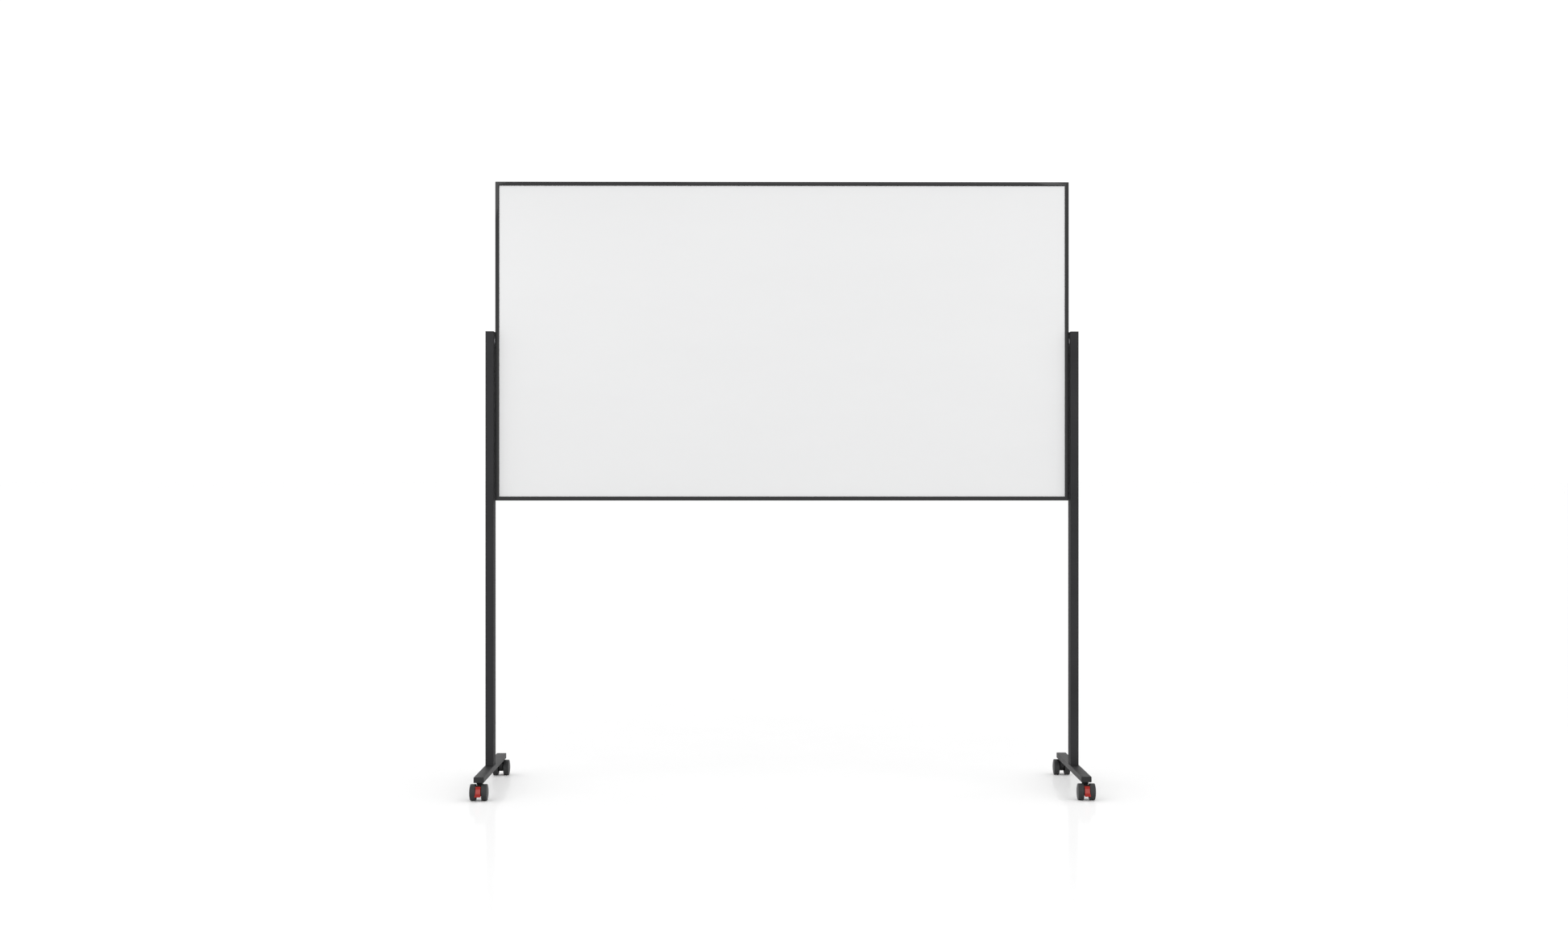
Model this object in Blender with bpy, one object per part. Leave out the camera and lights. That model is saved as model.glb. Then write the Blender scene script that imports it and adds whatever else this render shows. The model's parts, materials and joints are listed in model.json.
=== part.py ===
"""Rolling flip whiteboard.

A framed two-sided board turns end over end between two posts. Each post stands on a foot
bar that carries a braked twin-wheel caster at either end.

+X is to the right, -Y is the front, +Z is up, in metres. The origin is on the floor, midway
between the four casters.
"""

import math

import bmesh
import bpy
from mathutils import Matrix

# Gap left between pieces that touch on the real object.
GAP = 0.0003
# Vertices closer than this are one vertex.
MERGE_DISTANCE = 0.000001
SMOOTH_ANGLE = math.radians(35)

# Board
BOARD_WIDTH = 1.800
BOARD_HEIGHT = 1.000
BOARD_THICKNESS = 0.020
BOARD_BOTTOM = 0.900
PIVOT_HEIGHT = BOARD_BOTTOM + BOARD_HEIGHT / 2

# Frame profile: a hollow chamber along the outside, then two lips that hold the panel.
RAIL_FACE = 0.0125
RAIL_WALL = 0.0015
CHAMBER_DEPTH = 0.0055
PANEL_INSET = RAIL_WALL + CHAMBER_DEPTH + RAIL_WALL
SHEET_THICKNESS = 0.0005
KEY_ARM_LENGTH = 0.035

# Posts
POST_WIDTH = 0.025
POST_DEPTH = 0.060
POST_WALL = 0.002
POST_TOP = 1.430
POST_CORNER_RADIUS = 0.002
POST_CLEARANCE = 0.003
POST_X = BOARD_WIDTH / 2 + POST_CLEARANCE + POST_WIDTH / 2
POST_CAP_THICKNESS = 0.0027
POST_CAP_INSERT = 0.012
POST_CAP_WALL = 0.0022
POST_CAP_CHAMFER = 0.0008

# Blanking plug on each post's inner face
PLUG_HEIGHT = 0.200
PLUG_SETBACK = 0.018
PLUG_HEAD_RADIUS = 0.0045
PLUG_HEAD_THICKNESS = 0.0012
PLUG_RIM_THICKNESS = 0.0005
PLUG_SHANK_RADIUS = 0.003
PLUG_SHANK_LENGTH = 0.006

# Foot bars
BAR_WIDTH = 0.031
BAR_HEIGHT = 0.017
BAR_BOTTOM = 0.0539
BAR_TOP = BAR_BOTTOM + BAR_HEIGHT
BAR_WALL = 0.002
BAR_CORNER_RADIUS = 0.0018
BAR_OVERALL_LENGTH = 0.566
FOOT_CAP_THICKNESS = 0.0027
FOOT_CAP_CHAMFER = 0.0008
FOOT_CAP_INSERT = 0.041

# Bolts that hold each foot bar up against the nut plate in its post
FOOT_BOLT_SPREAD = 0.016
FOOT_BOLT_RADIUS = 0.004
FOOT_BOLT_LENGTH = 0.0145
FOOT_BOLT_HEAD_RADIUS = 0.0065
FOOT_BOLT_HEAD_HEIGHT = 0.005
FOOT_BOLT_SOCKET_RADIUS = 0.0034
FOOT_BOLT_SOCKET_DEPTH = 0.003
FOOT_BOLT_ACCESS_RADIUS = 0.0075
NUT_PLATE_THICKNESS = 0.010

# Chamfer on the ends of shanks, pins and bolts
END_CHAMFER = 0.0007

# Casters. Each fork trails outwards from its stem, along the bar.
STEM_INSET = 0.027
CASTER_TRAIL = 0.020
STEM_RADIUS = 0.004
STEM_TOP = BAR_TOP - BAR_WALL - 2 * GAP
COLLAR_RADIUS = 0.0058
JOURNAL_RADIUS = 0.003
JOURNAL_BOTTOM = 0.039
HOOD_RADIUS = 0.0101
HOOD_BOTTOM = 0.0465
HOOD_TOP = 0.0496
NECK_RADIUS = 0.0084
NECK_BOTTOM = 0.0508
NECK_TOP = 0.0524
NECK_CHAMFER = 0.0003
SLAB_TOP = HOOD_BOTTOM + 0.0006
FORK_HALF_WIDTH = 0.0065
FORK_BACK = 0.0082
FORK_BOSS_RADIUS = 0.0118
AXLE_RADIUS = 0.003
AXLE_HALF_LENGTH = 0.0233

# Wheels, measured from the caster's middle plane outwards
WHEEL_RADIUS = 0.025
WHEEL_INNER_FACE = 0.00865
WHEEL_SHOULDER = 0.0258
WHEEL_CROWN = 0.0287
WHEEL_RIM_INNER_RADIUS = 0.0213
WHEEL_WEB_FACE = 0.0215
WHEEL_HUB_RADIUS = 0.0068
WHEEL_HUB_FACE = 0.0071
WHEEL_BORE_END = 0.0240
WHEEL_EDGE = 0.0009

# Brake lever. It turns on trunnions held in slots in the fork's two cheeks.
LEVER_PIVOT_FROM_AXLE = 0.009
LEVER_PIVOT_HEIGHT = 0.040
LEVER_TONGUE_RADIUS = 0.0034
LEVER_TONGUE_HALF_WIDTH = 0.004
LEVER_PAD_TOP = 0.0445
LEVER_PAD_BOTTOM = 0.0145
LEVER_PAD_REACH = 0.024
LEVER_LIP_REACH = 0.013
LEVER_LIP_CURVE = 1.6
LEVER_PAD_THICKNESS = 0.0036
LEVER_TOP_HALF_WIDTH = 0.00825
LEVER_WAIST_HALF_WIDTH = 0.0074
LEVER_LIP_HALF_WIDTH = 0.0102
LEVER_WAIST_AT = 0.45
LEVER_CORNER_RADIUS = 0.0025
TRUNNION_RADIUS = 0.002
TRUNNION_SLOT_HEIGHT = 0.0039
CHEEK_RADIUS = 0.005
CAM_RADIUS = 0.0026
CAM_OFFSET = 0.0008
CAM_INNER = 0.0069
CAM_OUTER = 0.0112

# Slot in the fork that the lever's tongue swings in, from the lever's pivot
LEVER_SLOT_BACK = 0.0068
LEVER_SLOT_FRONT = 0.010
LEVER_SLOT_DEPTH = 0.0061

# Board pivots: a T-headed bolt held in the side rail, a flanged bush in the post, a nut.
PIVOT_BOLT_RADIUS = 0.005
PIVOT_HEAD_LENGTH = 0.030
PIVOT_BOLT_END = 0.023
BUSH_SLEEVE_RADIUS = 0.007
BUSH_FLANGE_RADIUS = 0.011
BUSH_SLEEVE_INSIDE_POST = 0.006
PIVOT_NUT_ACROSS_FLATS = 0.017
PIVOT_NUT_HEIGHT = 0.009

WHEEL_SEGMENTS = 32
ROUND_SEGMENTS = 20
SMALL_SEGMENTS = 16
PIN_SEGMENTS = 12
HEX_SIDES = 6
CORNER_STEPS = 3
FORK_STEPS = 8
DOME_STEPS = 3
LEVER_STEPS = 8

# Turns a shape drawn in XY and raised along Z into one drawn in YZ and raised along X.
SIDEWAYS = Matrix(((0, 0, 1, 0), (1, 0, 0, 0), (0, 1, 0, 0), (0, 0, 0, 1)))
# Turns a shape drawn in XY and raised along Z into one drawn in XZ and raised along +Y.
LENGTHWAYS = Matrix(((-1, 0, 0, 0), (0, 0, 1, 0), (0, 1, 0, 0), (0, 0, 0, 1)))
HALF_TURN = math.pi

SIDES = {"left": -1, "right": 1}
ENDS = {"front": -1, "rear": 1}


# ---------------------------------------------------------------- shapes

def arc(centre, radius, start, end, steps):
    """Points of an arc in the plane, both ends included; angles in degrees."""
    points = []
    for step in range(steps + 1):
        angle = math.radians(start + (end - start) * step / steps)
        x = centre[0] + radius * math.cos(angle)
        y = centre[1] + radius * math.sin(angle)
        points.append((x, y))
    return points


def circle(centre, radius, segments):
    return arc(centre, radius, 0, 360, segments)[:-1]


def rectangle(width, height, centre=(0.0, 0.0)):
    x = width / 2
    y = height / 2
    corners = ((-x, -y), (x, -y), (x, y), (-x, y))
    return [(centre[0] + dx, centre[1] + dy) for dx, dy in corners]


def dome(radius, rim, crown):
    """Section of a shallow dome, as (radius, height) points from its rim in to its crown."""
    points = []
    for step in range(DOME_STEPS + 1):
        share = 1 - step / DOME_STEPS
        points.append((radius * share, rim + (crown - rim) * (1 - share ** 2)))
    return points


def rounded_rectangle(width, height, radius):
    points = []
    for side_x, side_y, start in ((1, 1, 0), (-1, 1, 90), (-1, -1, 180), (1, -1, 270)):
        centre = (side_x * (width / 2 - radius), side_y * (height / 2 - radius))
        points += arc(centre, radius, start, start + 90, CORNER_STEPS)
    return points


def prism(loops, bottom, top):
    """Solid between two heights; the first loop is its outline, the others are holes."""
    bm = bmesh.new()
    for loop in loops:
        verts = [bm.verts.new((x, y, bottom)) for x, y in loop]
        for first, second in zip(verts, verts[1:] + verts[:1]):
            bm.edges.new((first, second))
    bmesh.ops.triangle_fill(bm, use_beauty=True, use_dissolve=False, edges=bm.edges[:])
    grown = bmesh.ops.extrude_face_region(bm, geom=bm.faces[:])
    raised = [item for item in grown["geom"] if isinstance(item, bmesh.types.BMVert)]
    bmesh.ops.translate(bm, verts=raised, vec=(0, 0, top - bottom))
    bmesh.ops.recalc_face_normals(bm, faces=bm.faces[:])
    return bm


def turned(profile, segments, closed=False):
    """Solid of (radius, height) points spun about Z. An open profile ends on the axis."""
    bm = bmesh.new()
    verts = [bm.verts.new((radius, 0, height)) for radius, height in profile]
    ends = verts[1:] + verts[:1] if closed else verts[1:]
    edges = [bm.edges.new(pair) for pair in zip(verts, ends)]
    bmesh.ops.spin(
        bm,
        geom=verts + edges,
        cent=(0, 0, 0),
        axis=(0, 0, 1),
        angle=2 * math.pi,
        steps=segments,
        use_merge=True,
    )
    bmesh.ops.remove_doubles(bm, verts=bm.verts[:], dist=MERGE_DISTANCE)
    bmesh.ops.recalc_face_normals(bm, faces=bm.faces[:])
    return bm


def moved(bm, x=0.0, y=0.0, z=0.0):
    bmesh.ops.translate(bm, verts=bm.verts[:], vec=(x, y, z))
    return bm


def transformed(bm, matrix):
    bmesh.ops.transform(bm, matrix=matrix, verts=bm.verts[:])
    return bm


def cylinder(radius, bottom, top, segments=SMALL_SEGMENTS, centre=(0.0, 0.0)):
    return prism([circle(centre, radius, segments)], bottom, top)


def chamfer(bm, width, test):
    """Bevel the edges whose two ends both pass the test."""
    edges = [edge for edge in bm.edges if all(test(vert.co) for vert in edge.verts)]
    sharp = [edge for edge in edges if edge.calc_face_angle(0) > SMOOTH_ANGLE]
    bmesh.ops.bevel(bm, geom=sharp, offset=width, segments=1, affect="EDGES")
    return bm


def temporary_object(bm):
    mesh = bpy.data.meshes.new("temporary")
    bm.to_mesh(mesh)
    bm.free()
    item = bpy.data.objects.new("temporary", mesh)
    bpy.context.scene.collection.objects.link(item)
    return item


def combined(body, tool, operation):
    """Boolean of two closed shapes, which are both used up."""
    base = temporary_object(body)
    other = temporary_object(tool)
    modifier = base.modifiers.new("combine", "BOOLEAN")
    modifier.operation = operation
    modifier.solver = "EXACT"
    modifier.object = other
    graph = bpy.context.evaluated_depsgraph_get()
    mesh = bpy.data.meshes.new_from_object(base.evaluated_get(graph))
    bm = bmesh.new()
    bm.from_mesh(mesh)
    bmesh.ops.remove_doubles(bm, verts=bm.verts[:], dist=MERGE_DISTANCE)
    for item in (base, other):
        used_mesh = item.data
        bpy.data.objects.remove(item)
        bpy.data.meshes.remove(used_mesh)
    bpy.data.meshes.remove(mesh)
    return bm


def cut(body, tool):
    return combined(body, tool, "DIFFERENCE")


def fused(body, tool):
    return combined(body, tool, "UNION")


def common(body, tool):
    return combined(body, tool, "INTERSECT")


# ---------------------------------------------------------------- objects

def material(name, colour, roughness, metallic=0.0):
    item = bpy.data.materials.new(name)
    item.use_nodes = True
    shader = item.node_tree.nodes["Principled BSDF"]
    shader.inputs["Base Color"].default_value = (*colour, 1.0)
    shader.inputs["Roughness"].default_value = roughness
    shader.inputs["Metallic"].default_value = metallic
    return item


def black_powder_coat():
    return material("black_powder_coat", (0.040, 0.040, 0.042), 0.45)


def black_anodised_aluminium():
    return material("black_anodised_aluminium", (0.038, 0.038, 0.040), 0.35, 0.6)


def black_plastic():
    return material("black_plastic", (0.022, 0.022, 0.023), 0.55)


def wheel_nylon():
    return material("wheel_nylon", (0.045, 0.046, 0.048), 0.50)


def red_plastic():
    return material("red_plastic", (0.52, 0.030, 0.022), 0.40)


def zinc_plated_steel():
    return material("zinc_plated_steel", (0.62, 0.63, 0.65), 0.35, 1.0)


def white_enamel():
    return material("white_enamel", (0.84, 0.85, 0.86), 0.12)


def honeycomb_board():
    return material("honeycomb_board", (0.46, 0.33, 0.20), 0.85)


def grey_nylon():
    return material("grey_nylon", (0.30, 0.30, 0.31), 0.50)


def mesh_from(name, bm, finish):
    """Turn a shape into a smooth-shaded mesh with one material."""
    bmesh.ops.recalc_face_normals(bm, faces=bm.faces[:])
    mesh = bpy.data.meshes.new(name)
    bm.to_mesh(mesh)
    bm.free()
    mesh.shade_smooth()
    mesh.set_sharp_from_angle(angle=SMOOTH_ANGLE)
    mesh.materials.append(finish)
    return mesh


def add(name, mesh, location=(0.0, 0.0, 0.0), turn=0.0, parent=None):
    """Place a mesh; turn is a rotation about Z."""
    item = bpy.data.objects.new(name, mesh)
    item.location = location
    item.rotation_euler = (0.0, 0.0, turn)
    item.parent = parent
    bpy.context.scene.collection.objects.link(item)
    return item


def guide(name, location, turn=0.0):
    return add(name, None, location, turn)


# ---------------------------------------------------------------- stand

def post_shape(side):
    """Rectangular tube with a bush hole and a plug hole through its inner wall."""
    outer = rounded_rectangle(POST_WIDTH, POST_DEPTH, POST_CORNER_RADIUS)
    bore_width = POST_WIDTH - 2 * POST_WALL
    bore_depth = POST_DEPTH - 2 * POST_WALL
    inner = rectangle(bore_width, bore_depth)
    tube_top = POST_TOP - POST_CAP_THICKNESS - GAP
    tube = prism([outer, inner], BAR_TOP + GAP, tube_top)
    inner_wall = -side * (POST_WIDTH - POST_WALL) / 2
    reach = POST_WALL
    for radius, y, z in (
        (BUSH_SLEEVE_RADIUS + GAP, 0.0, PIVOT_HEIGHT),
        (PLUG_SHANK_RADIUS + GAP, PLUG_SETBACK, PLUG_HEIGHT),
    ):
        drill = transformed(cylinder(radius, -reach, reach, ROUND_SEGMENTS), SIDEWAYS)
        tube = cut(tube, moved(drill, inner_wall, y, z))
    return tube


def post_cap_shape():
    """Flush lid with a hollow skirt that plugs the post's bore."""
    underside = POST_TOP - POST_CAP_THICKNESS
    skirt_bottom = underside - POST_CAP_INSERT
    lid = prism([rounded_rectangle(POST_WIDTH, POST_DEPTH, POST_CORNER_RADIUS)], underside, POST_TOP)
    chamfer(lid, POST_CAP_CHAMFER, lambda co: co.z > POST_TOP - MERGE_DISTANCE)
    skirt_width = POST_WIDTH - 2 * (POST_WALL + GAP)
    skirt_depth = POST_DEPTH - 2 * (POST_WALL + GAP)
    outline = rectangle(skirt_width, skirt_depth)
    pocket = rectangle(skirt_width - 2 * POST_CAP_WALL, skirt_depth - 2 * POST_CAP_WALL)
    skirt = prism([outline, pocket], skirt_bottom, underside + POST_CAP_THICKNESS / 2)
    return fused(lid, skirt)


def nut_plate_shape():
    """Tapped plate welded inside the bottom of a post."""
    width = POST_WIDTH - 2 * (POST_WALL + GAP)
    depth = POST_DEPTH - 2 * (POST_WALL + GAP)
    loops = [rectangle(width, depth)]
    for y in (-FOOT_BOLT_SPREAD, FOOT_BOLT_SPREAD):
        loops.append(circle((0.0, y), FOOT_BOLT_RADIUS + GAP, SMALL_SEGMENTS))
    bottom = BAR_TOP + GAP
    return prism(loops, bottom, bottom + NUT_PLATE_THICKNESS)


def post_plug_shape():
    """Domed push-in plug; its shank points along +X and its head lies below zero."""
    profile = dome(PLUG_HEAD_RADIUS, -PLUG_RIM_THICKNESS, -PLUG_HEAD_THICKNESS)[::-1]
    profile += [
        (PLUG_HEAD_RADIUS, -GAP),
        (PLUG_SHANK_RADIUS, -GAP),
        (PLUG_SHANK_RADIUS, PLUG_SHANK_LENGTH - END_CHAMFER),
        (PLUG_SHANK_RADIUS - END_CHAMFER, PLUG_SHANK_LENGTH),
        (0.0, PLUG_SHANK_LENGTH),
    ]
    return transformed(turned(profile, SMALL_SEGMENTS), SIDEWAYS)


def bar_half_length():
    return BAR_OVERALL_LENGTH / 2 - FOOT_CAP_THICKNESS - GAP


def stem_y():
    """How far each caster's stem is from the middle of its bar."""
    return BAR_OVERALL_LENGTH / 2 - STEM_INSET


def foot_bar_shape():
    """Flat rectangular tube, drilled for the two stems and the two bolts."""
    outer = rounded_rectangle(BAR_WIDTH, BAR_HEIGHT, BAR_CORNER_RADIUS)
    inner = rectangle(BAR_WIDTH - 2 * BAR_WALL, BAR_HEIGHT - 2 * BAR_WALL)
    half = bar_half_length()
    bar = transformed(prism([outer, inner], -half, half), LENGTHWAYS)
    moved(bar, z=BAR_BOTTOM + BAR_HEIGHT / 2)
    middle = BAR_BOTTOM + BAR_HEIGHT / 2
    below = BAR_BOTTOM - BAR_WALL
    above = BAR_TOP + BAR_WALL
    for end in ENDS.values():
        stem = (0.0, end * stem_y())
        bolt = (0.0, end * FOOT_BOLT_SPREAD)
        bar = cut(bar, cylinder(STEM_RADIUS + GAP, below, middle, centre=stem))
        bar = cut(bar, cylinder(FOOT_BOLT_ACCESS_RADIUS, below, middle, ROUND_SEGMENTS, bolt))
        bar = cut(bar, cylinder(FOOT_BOLT_RADIUS + GAP, middle, above, centre=bolt))
    return bar


def foot_cap_shape():
    """End cap for the +Y end of a bar, with the socket that takes a caster's stem."""
    face = BAR_OVERALL_LENGTH / 2
    seat = face - FOOT_CAP_THICKNESS
    centre_height = BAR_BOTTOM + BAR_HEIGHT / 2
    outline = rounded_rectangle(BAR_WIDTH, BAR_HEIGHT, BAR_CORNER_RADIUS)
    plate = transformed(prism([outline], seat, face), LENGTHWAYS)
    chamfer(plate, FOOT_CAP_CHAMFER, lambda co: co.y > face - MERGE_DISTANCE)
    width = BAR_WIDTH - 2 * (BAR_WALL + GAP)
    height = BAR_HEIGHT - 2 * (BAR_WALL + GAP)
    overlap = FOOT_CAP_THICKNESS / 2
    insert = prism([rectangle(width, height)], seat - FOOT_CAP_INSERT, seat + overlap)
    cap = moved(fused(plate, transformed(insert, LENGTHWAYS)), z=centre_height)
    socket = cylinder(STEM_RADIUS + GAP, BAR_BOTTOM, BAR_TOP, centre=(0.0, stem_y()))
    return cut(cap, socket)


def foot_bolt_shape():
    """Socket-head bolt pointing up; zero height is the seat under its head."""
    head = FOOT_BOLT_HEAD_HEIGHT
    profile = [
        (0.0, -head),
        (FOOT_BOLT_HEAD_RADIUS - END_CHAMFER, -head),
        (FOOT_BOLT_HEAD_RADIUS, -head + END_CHAMFER),
        (FOOT_BOLT_HEAD_RADIUS, 0.0),
        (FOOT_BOLT_RADIUS, 0.0),
        (FOOT_BOLT_RADIUS, FOOT_BOLT_LENGTH - END_CHAMFER),
        (FOOT_BOLT_RADIUS - END_CHAMFER, FOOT_BOLT_LENGTH),
        (0.0, FOOT_BOLT_LENGTH),
    ]
    bolt = turned(profile, SMALL_SEGMENTS)
    depth = FOOT_BOLT_SOCKET_DEPTH
    socket = cylinder(FOOT_BOLT_SOCKET_RADIUS, -head - depth, -head + depth, HEX_SIDES)
    return cut(bolt, socket)


def build_stand(coat, plastic, steel):
    bar_mesh = mesh_from("foot_bar", foot_bar_shape(), coat)
    cap_mesh = mesh_from("foot_cap", foot_cap_shape(), plastic)
    bolt_mesh = mesh_from("foot_bolt", foot_bolt_shape(), steel)
    plate_mesh = mesh_from("nut_plate", nut_plate_shape(), steel)
    lid_mesh = mesh_from("post_cap", post_cap_shape(), plastic)
    plug_mesh = mesh_from("post_plug", post_plug_shape(), plastic)
    bolt_seat = BAR_TOP - BAR_WALL - GAP
    for side_name, side in SIDES.items():
        x = side * POST_X
        add(f"{side_name}_post", mesh_from("post", post_shape(side), coat), (x, 0, 0))
        add(f"{side_name}_post_cap", lid_mesh, (x, 0, 0))
        add(f"{side_name}_post_nut_plate", plate_mesh, (x, 0, 0))
        add(f"{side_name}_foot_bar", bar_mesh, (x, 0, 0))
        inner_face = x - side * POST_WIDTH / 2
        plug_turn = 0.0 if side > 0 else HALF_TURN
        add(f"{side_name}_post_plug", plug_mesh, (inner_face, PLUG_SETBACK, PLUG_HEIGHT), plug_turn)
        for end_name, end in ENDS.items():
            label = f"{side_name}_{end_name}"
            cap_turn = 0.0 if end > 0 else HALF_TURN
            add(f"{label}_foot_cap", cap_mesh, (x, 0, 0), cap_turn)
            add(f"{label}_foot_bolt", bolt_mesh, (x, end * FOOT_BOLT_SPREAD, bolt_seat))


# ---------------------------------------------------------------- casters
# Drawn with the stem on the Z axis, the floor at zero height and the fork trailing to +Y.

def stem_shape():
    """Plain shank for the foot cap's socket, a zinc collar, and the swivel journal."""
    collar_top = BAR_BOTTOM - GAP
    collar_bottom = NECK_TOP + GAP
    profile = [
        (0.0, JOURNAL_BOTTOM),
        (JOURNAL_RADIUS - END_CHAMFER, JOURNAL_BOTTOM),
        (JOURNAL_RADIUS, JOURNAL_BOTTOM + END_CHAMFER),
        (JOURNAL_RADIUS, collar_bottom),
        (COLLAR_RADIUS, collar_bottom),
        (COLLAR_RADIUS, collar_top),
        (STEM_RADIUS, collar_top),
        (STEM_RADIUS, STEM_TOP - END_CHAMFER),
        (STEM_RADIUS - END_CHAMFER, STEM_TOP),
        (0.0, STEM_TOP),
    ]
    return turned(profile, SMALL_SEGMENTS)


def fork_outline():
    """Side view of the fork's slab: axle boss, brake cheek, top, and the back edge."""
    boss = (CASTER_TRAIL, WHEEL_RADIUS)
    cheek = (CASTER_TRAIL + LEVER_PIVOT_FROM_AXLE, LEVER_PIVOT_HEIGHT)
    points = arc(boss, FORK_BOSS_RADIUS, 225, 345, FORK_STEPS)
    points += arc(cheek, CHEEK_RADIUS, -15, 90, FORK_STEPS)
    points.append((HOOD_RADIUS + CHEEK_RADIUS, SLAB_TOP))
    back = (-FORK_BACK + CHEEK_RADIUS, SLAB_TOP - CHEEK_RADIUS)
    points += arc(back, CHEEK_RADIUS, 90, 180, CORNER_STEPS)
    points.append((-FORK_BACK, LEVER_PIVOT_HEIGHT - CHEEK_RADIUS))
    return points


def hood_shape():
    """Round hood over the slab, drawn in to the neck that turns under the stem's collar."""
    profile = [
        (0.0, HOOD_BOTTOM),
        (HOOD_RADIUS, HOOD_BOTTOM),
        (HOOD_RADIUS, HOOD_TOP),
        (NECK_RADIUS, NECK_BOTTOM),
        (NECK_RADIUS, NECK_TOP - NECK_CHAMFER),
        (NECK_RADIUS - NECK_CHAMFER, NECK_TOP),
        (0.0, NECK_TOP),
    ]
    return turned(profile, ROUND_SEGMENTS)


def fork_shape():
    """One slab between the wheels under a round hood, slotted for the brake lever."""
    width = FORK_HALF_WIDTH
    axle_hole = circle((CASTER_TRAIL, WHEEL_RADIUS), AXLE_RADIUS + GAP, SMALL_SEGMENTS)
    slab = transformed(prism([fork_outline(), axle_hole], -width, width), SIDEWAYS)
    fork = fused(slab, hood_shape())
    journal = cylinder(JOURNAL_RADIUS + GAP, JOURNAL_BOTTOM - GAP, BAR_BOTTOM)
    fork = cut(fork, journal)
    pivot_y = CASTER_TRAIL + LEVER_PIVOT_FROM_AXLE
    slot_width = 2 * (LEVER_TONGUE_HALF_WIDTH + GAP)
    slot_length = LEVER_SLOT_FRONT + LEVER_SLOT_BACK
    slot_middle = pivot_y + (LEVER_SLOT_FRONT - LEVER_SLOT_BACK) / 2
    slot_outline = rectangle(slot_width, slot_length, (0.0, slot_middle))
    slot_floor = LEVER_PIVOT_HEIGHT - LEVER_SLOT_DEPTH
    fork = cut(fork, prism([slot_outline], slot_floor, SLAB_TOP + CHEEK_RADIUS))
    seat = cylinder(TRUNNION_RADIUS + GAP, -2 * width, 2 * width)
    fork = cut(fork, moved(transformed(seat, SIDEWAYS), y=pivot_y, z=LEVER_PIVOT_HEIGHT))
    way_in = rectangle(LEVER_SLOT_FRONT, TRUNNION_SLOT_HEIGHT, (LEVER_SLOT_FRONT / 2, 0.0))
    mouth = transformed(prism([way_in], -2 * width, 2 * width), SIDEWAYS)
    return cut(fork, moved(mouth, y=pivot_y, z=LEVER_PIVOT_HEIGHT))


def axle_shape():
    half = AXLE_HALF_LENGTH
    profile = [
        (0.0, -half),
        (AXLE_RADIUS - END_CHAMFER, -half),
        (AXLE_RADIUS, -half + END_CHAMFER),
        (AXLE_RADIUS, half - END_CHAMFER),
        (AXLE_RADIUS - END_CHAMFER, half),
        (0.0, half),
    ]
    return transformed(turned(profile, SMALL_SEGMENTS), SIDEWAYS)


def wheel_profile():
    """Section of one wheel from the bottom of its blind bore round to its domed crown."""
    flat_radius = WHEEL_RADIUS / math.cos(math.pi / WHEEL_SEGMENTS)
    bore = AXLE_RADIUS + GAP
    profile = [
        (0.0, WHEEL_BORE_END),
        (bore, WHEEL_BORE_END),
        (bore, WHEEL_HUB_FACE),
        (WHEEL_HUB_RADIUS, WHEEL_HUB_FACE),
        (WHEEL_HUB_RADIUS, WHEEL_WEB_FACE),
        (WHEEL_RIM_INNER_RADIUS, WHEEL_WEB_FACE),
        (WHEEL_RIM_INNER_RADIUS, WHEEL_INNER_FACE),
        (flat_radius - WHEEL_EDGE, WHEEL_INNER_FACE),
        (flat_radius, WHEEL_INNER_FACE + WHEEL_EDGE),
        (flat_radius, WHEEL_SHOULDER - WHEEL_EDGE),
    ]
    return profile + dome(flat_radius - WHEEL_EDGE, WHEEL_SHOULDER, WHEEL_CROWN)


def wheel_shape():
    """Wheel that rolls on flats, with one flat lying on the floor."""
    wheel = turned(wheel_profile(), WHEEL_SEGMENTS)
    transformed(wheel, Matrix.Rotation(math.pi / WHEEL_SEGMENTS, 4, "Z"))
    return transformed(wheel, SIDEWAYS)


def lever_pad_outline():
    """Side view of the lever's pad from its pivot: a curl that flares into the lip."""
    front = []
    reach = LEVER_PAD_REACH - LEVER_PIVOT_FROM_AXLE
    height = LEVER_PAD_TOP - LEVER_PAD_BOTTOM
    for step in range(LEVER_STEPS + 1):
        down = step / LEVER_STEPS
        y = reach + LEVER_LIP_REACH * down ** LEVER_LIP_CURVE
        z = LEVER_PAD_TOP - LEVER_PIVOT_HEIGHT - height * down
        front.append((y, z))
    back = [(y - LEVER_PAD_THICKNESS, z) for y, z in reversed(front)]
    return front + back


def lever_front_outline():
    """Front view of the pad: rounded top, narrow waist, flared lip."""
    height = LEVER_PAD_TOP - LEVER_PAD_BOTTOM
    top_flare = LEVER_TOP_HALF_WIDTH - LEVER_WAIST_HALF_WIDTH
    lip_flare = LEVER_LIP_HALF_WIDTH - LEVER_WAIST_HALF_WIDTH
    right = []
    for step in range(1, LEVER_STEPS + 1):
        down = step / LEVER_STEPS
        if down < LEVER_WAIST_AT:
            flare = top_flare * (1 - down / LEVER_WAIST_AT) ** 2
        else:
            flare = lip_flare * ((down - LEVER_WAIST_AT) / (1 - LEVER_WAIST_AT)) ** 2
        z = LEVER_PAD_TOP - LEVER_PIVOT_HEIGHT - height * down
        right.append((LEVER_WAIST_HALF_WIDTH + flare, z))
    corner_x = LEVER_TOP_HALF_WIDTH - LEVER_CORNER_RADIUS
    corner_z = LEVER_PAD_TOP - LEVER_PIVOT_HEIGHT - LEVER_CORNER_RADIUS
    rounded = arc((corner_x, corner_z), LEVER_CORNER_RADIUS, 90, 0, CORNER_STEPS)
    half = rounded + right
    other_half = [(-x, z) for x, z in reversed(half)]
    return half + other_half


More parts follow.
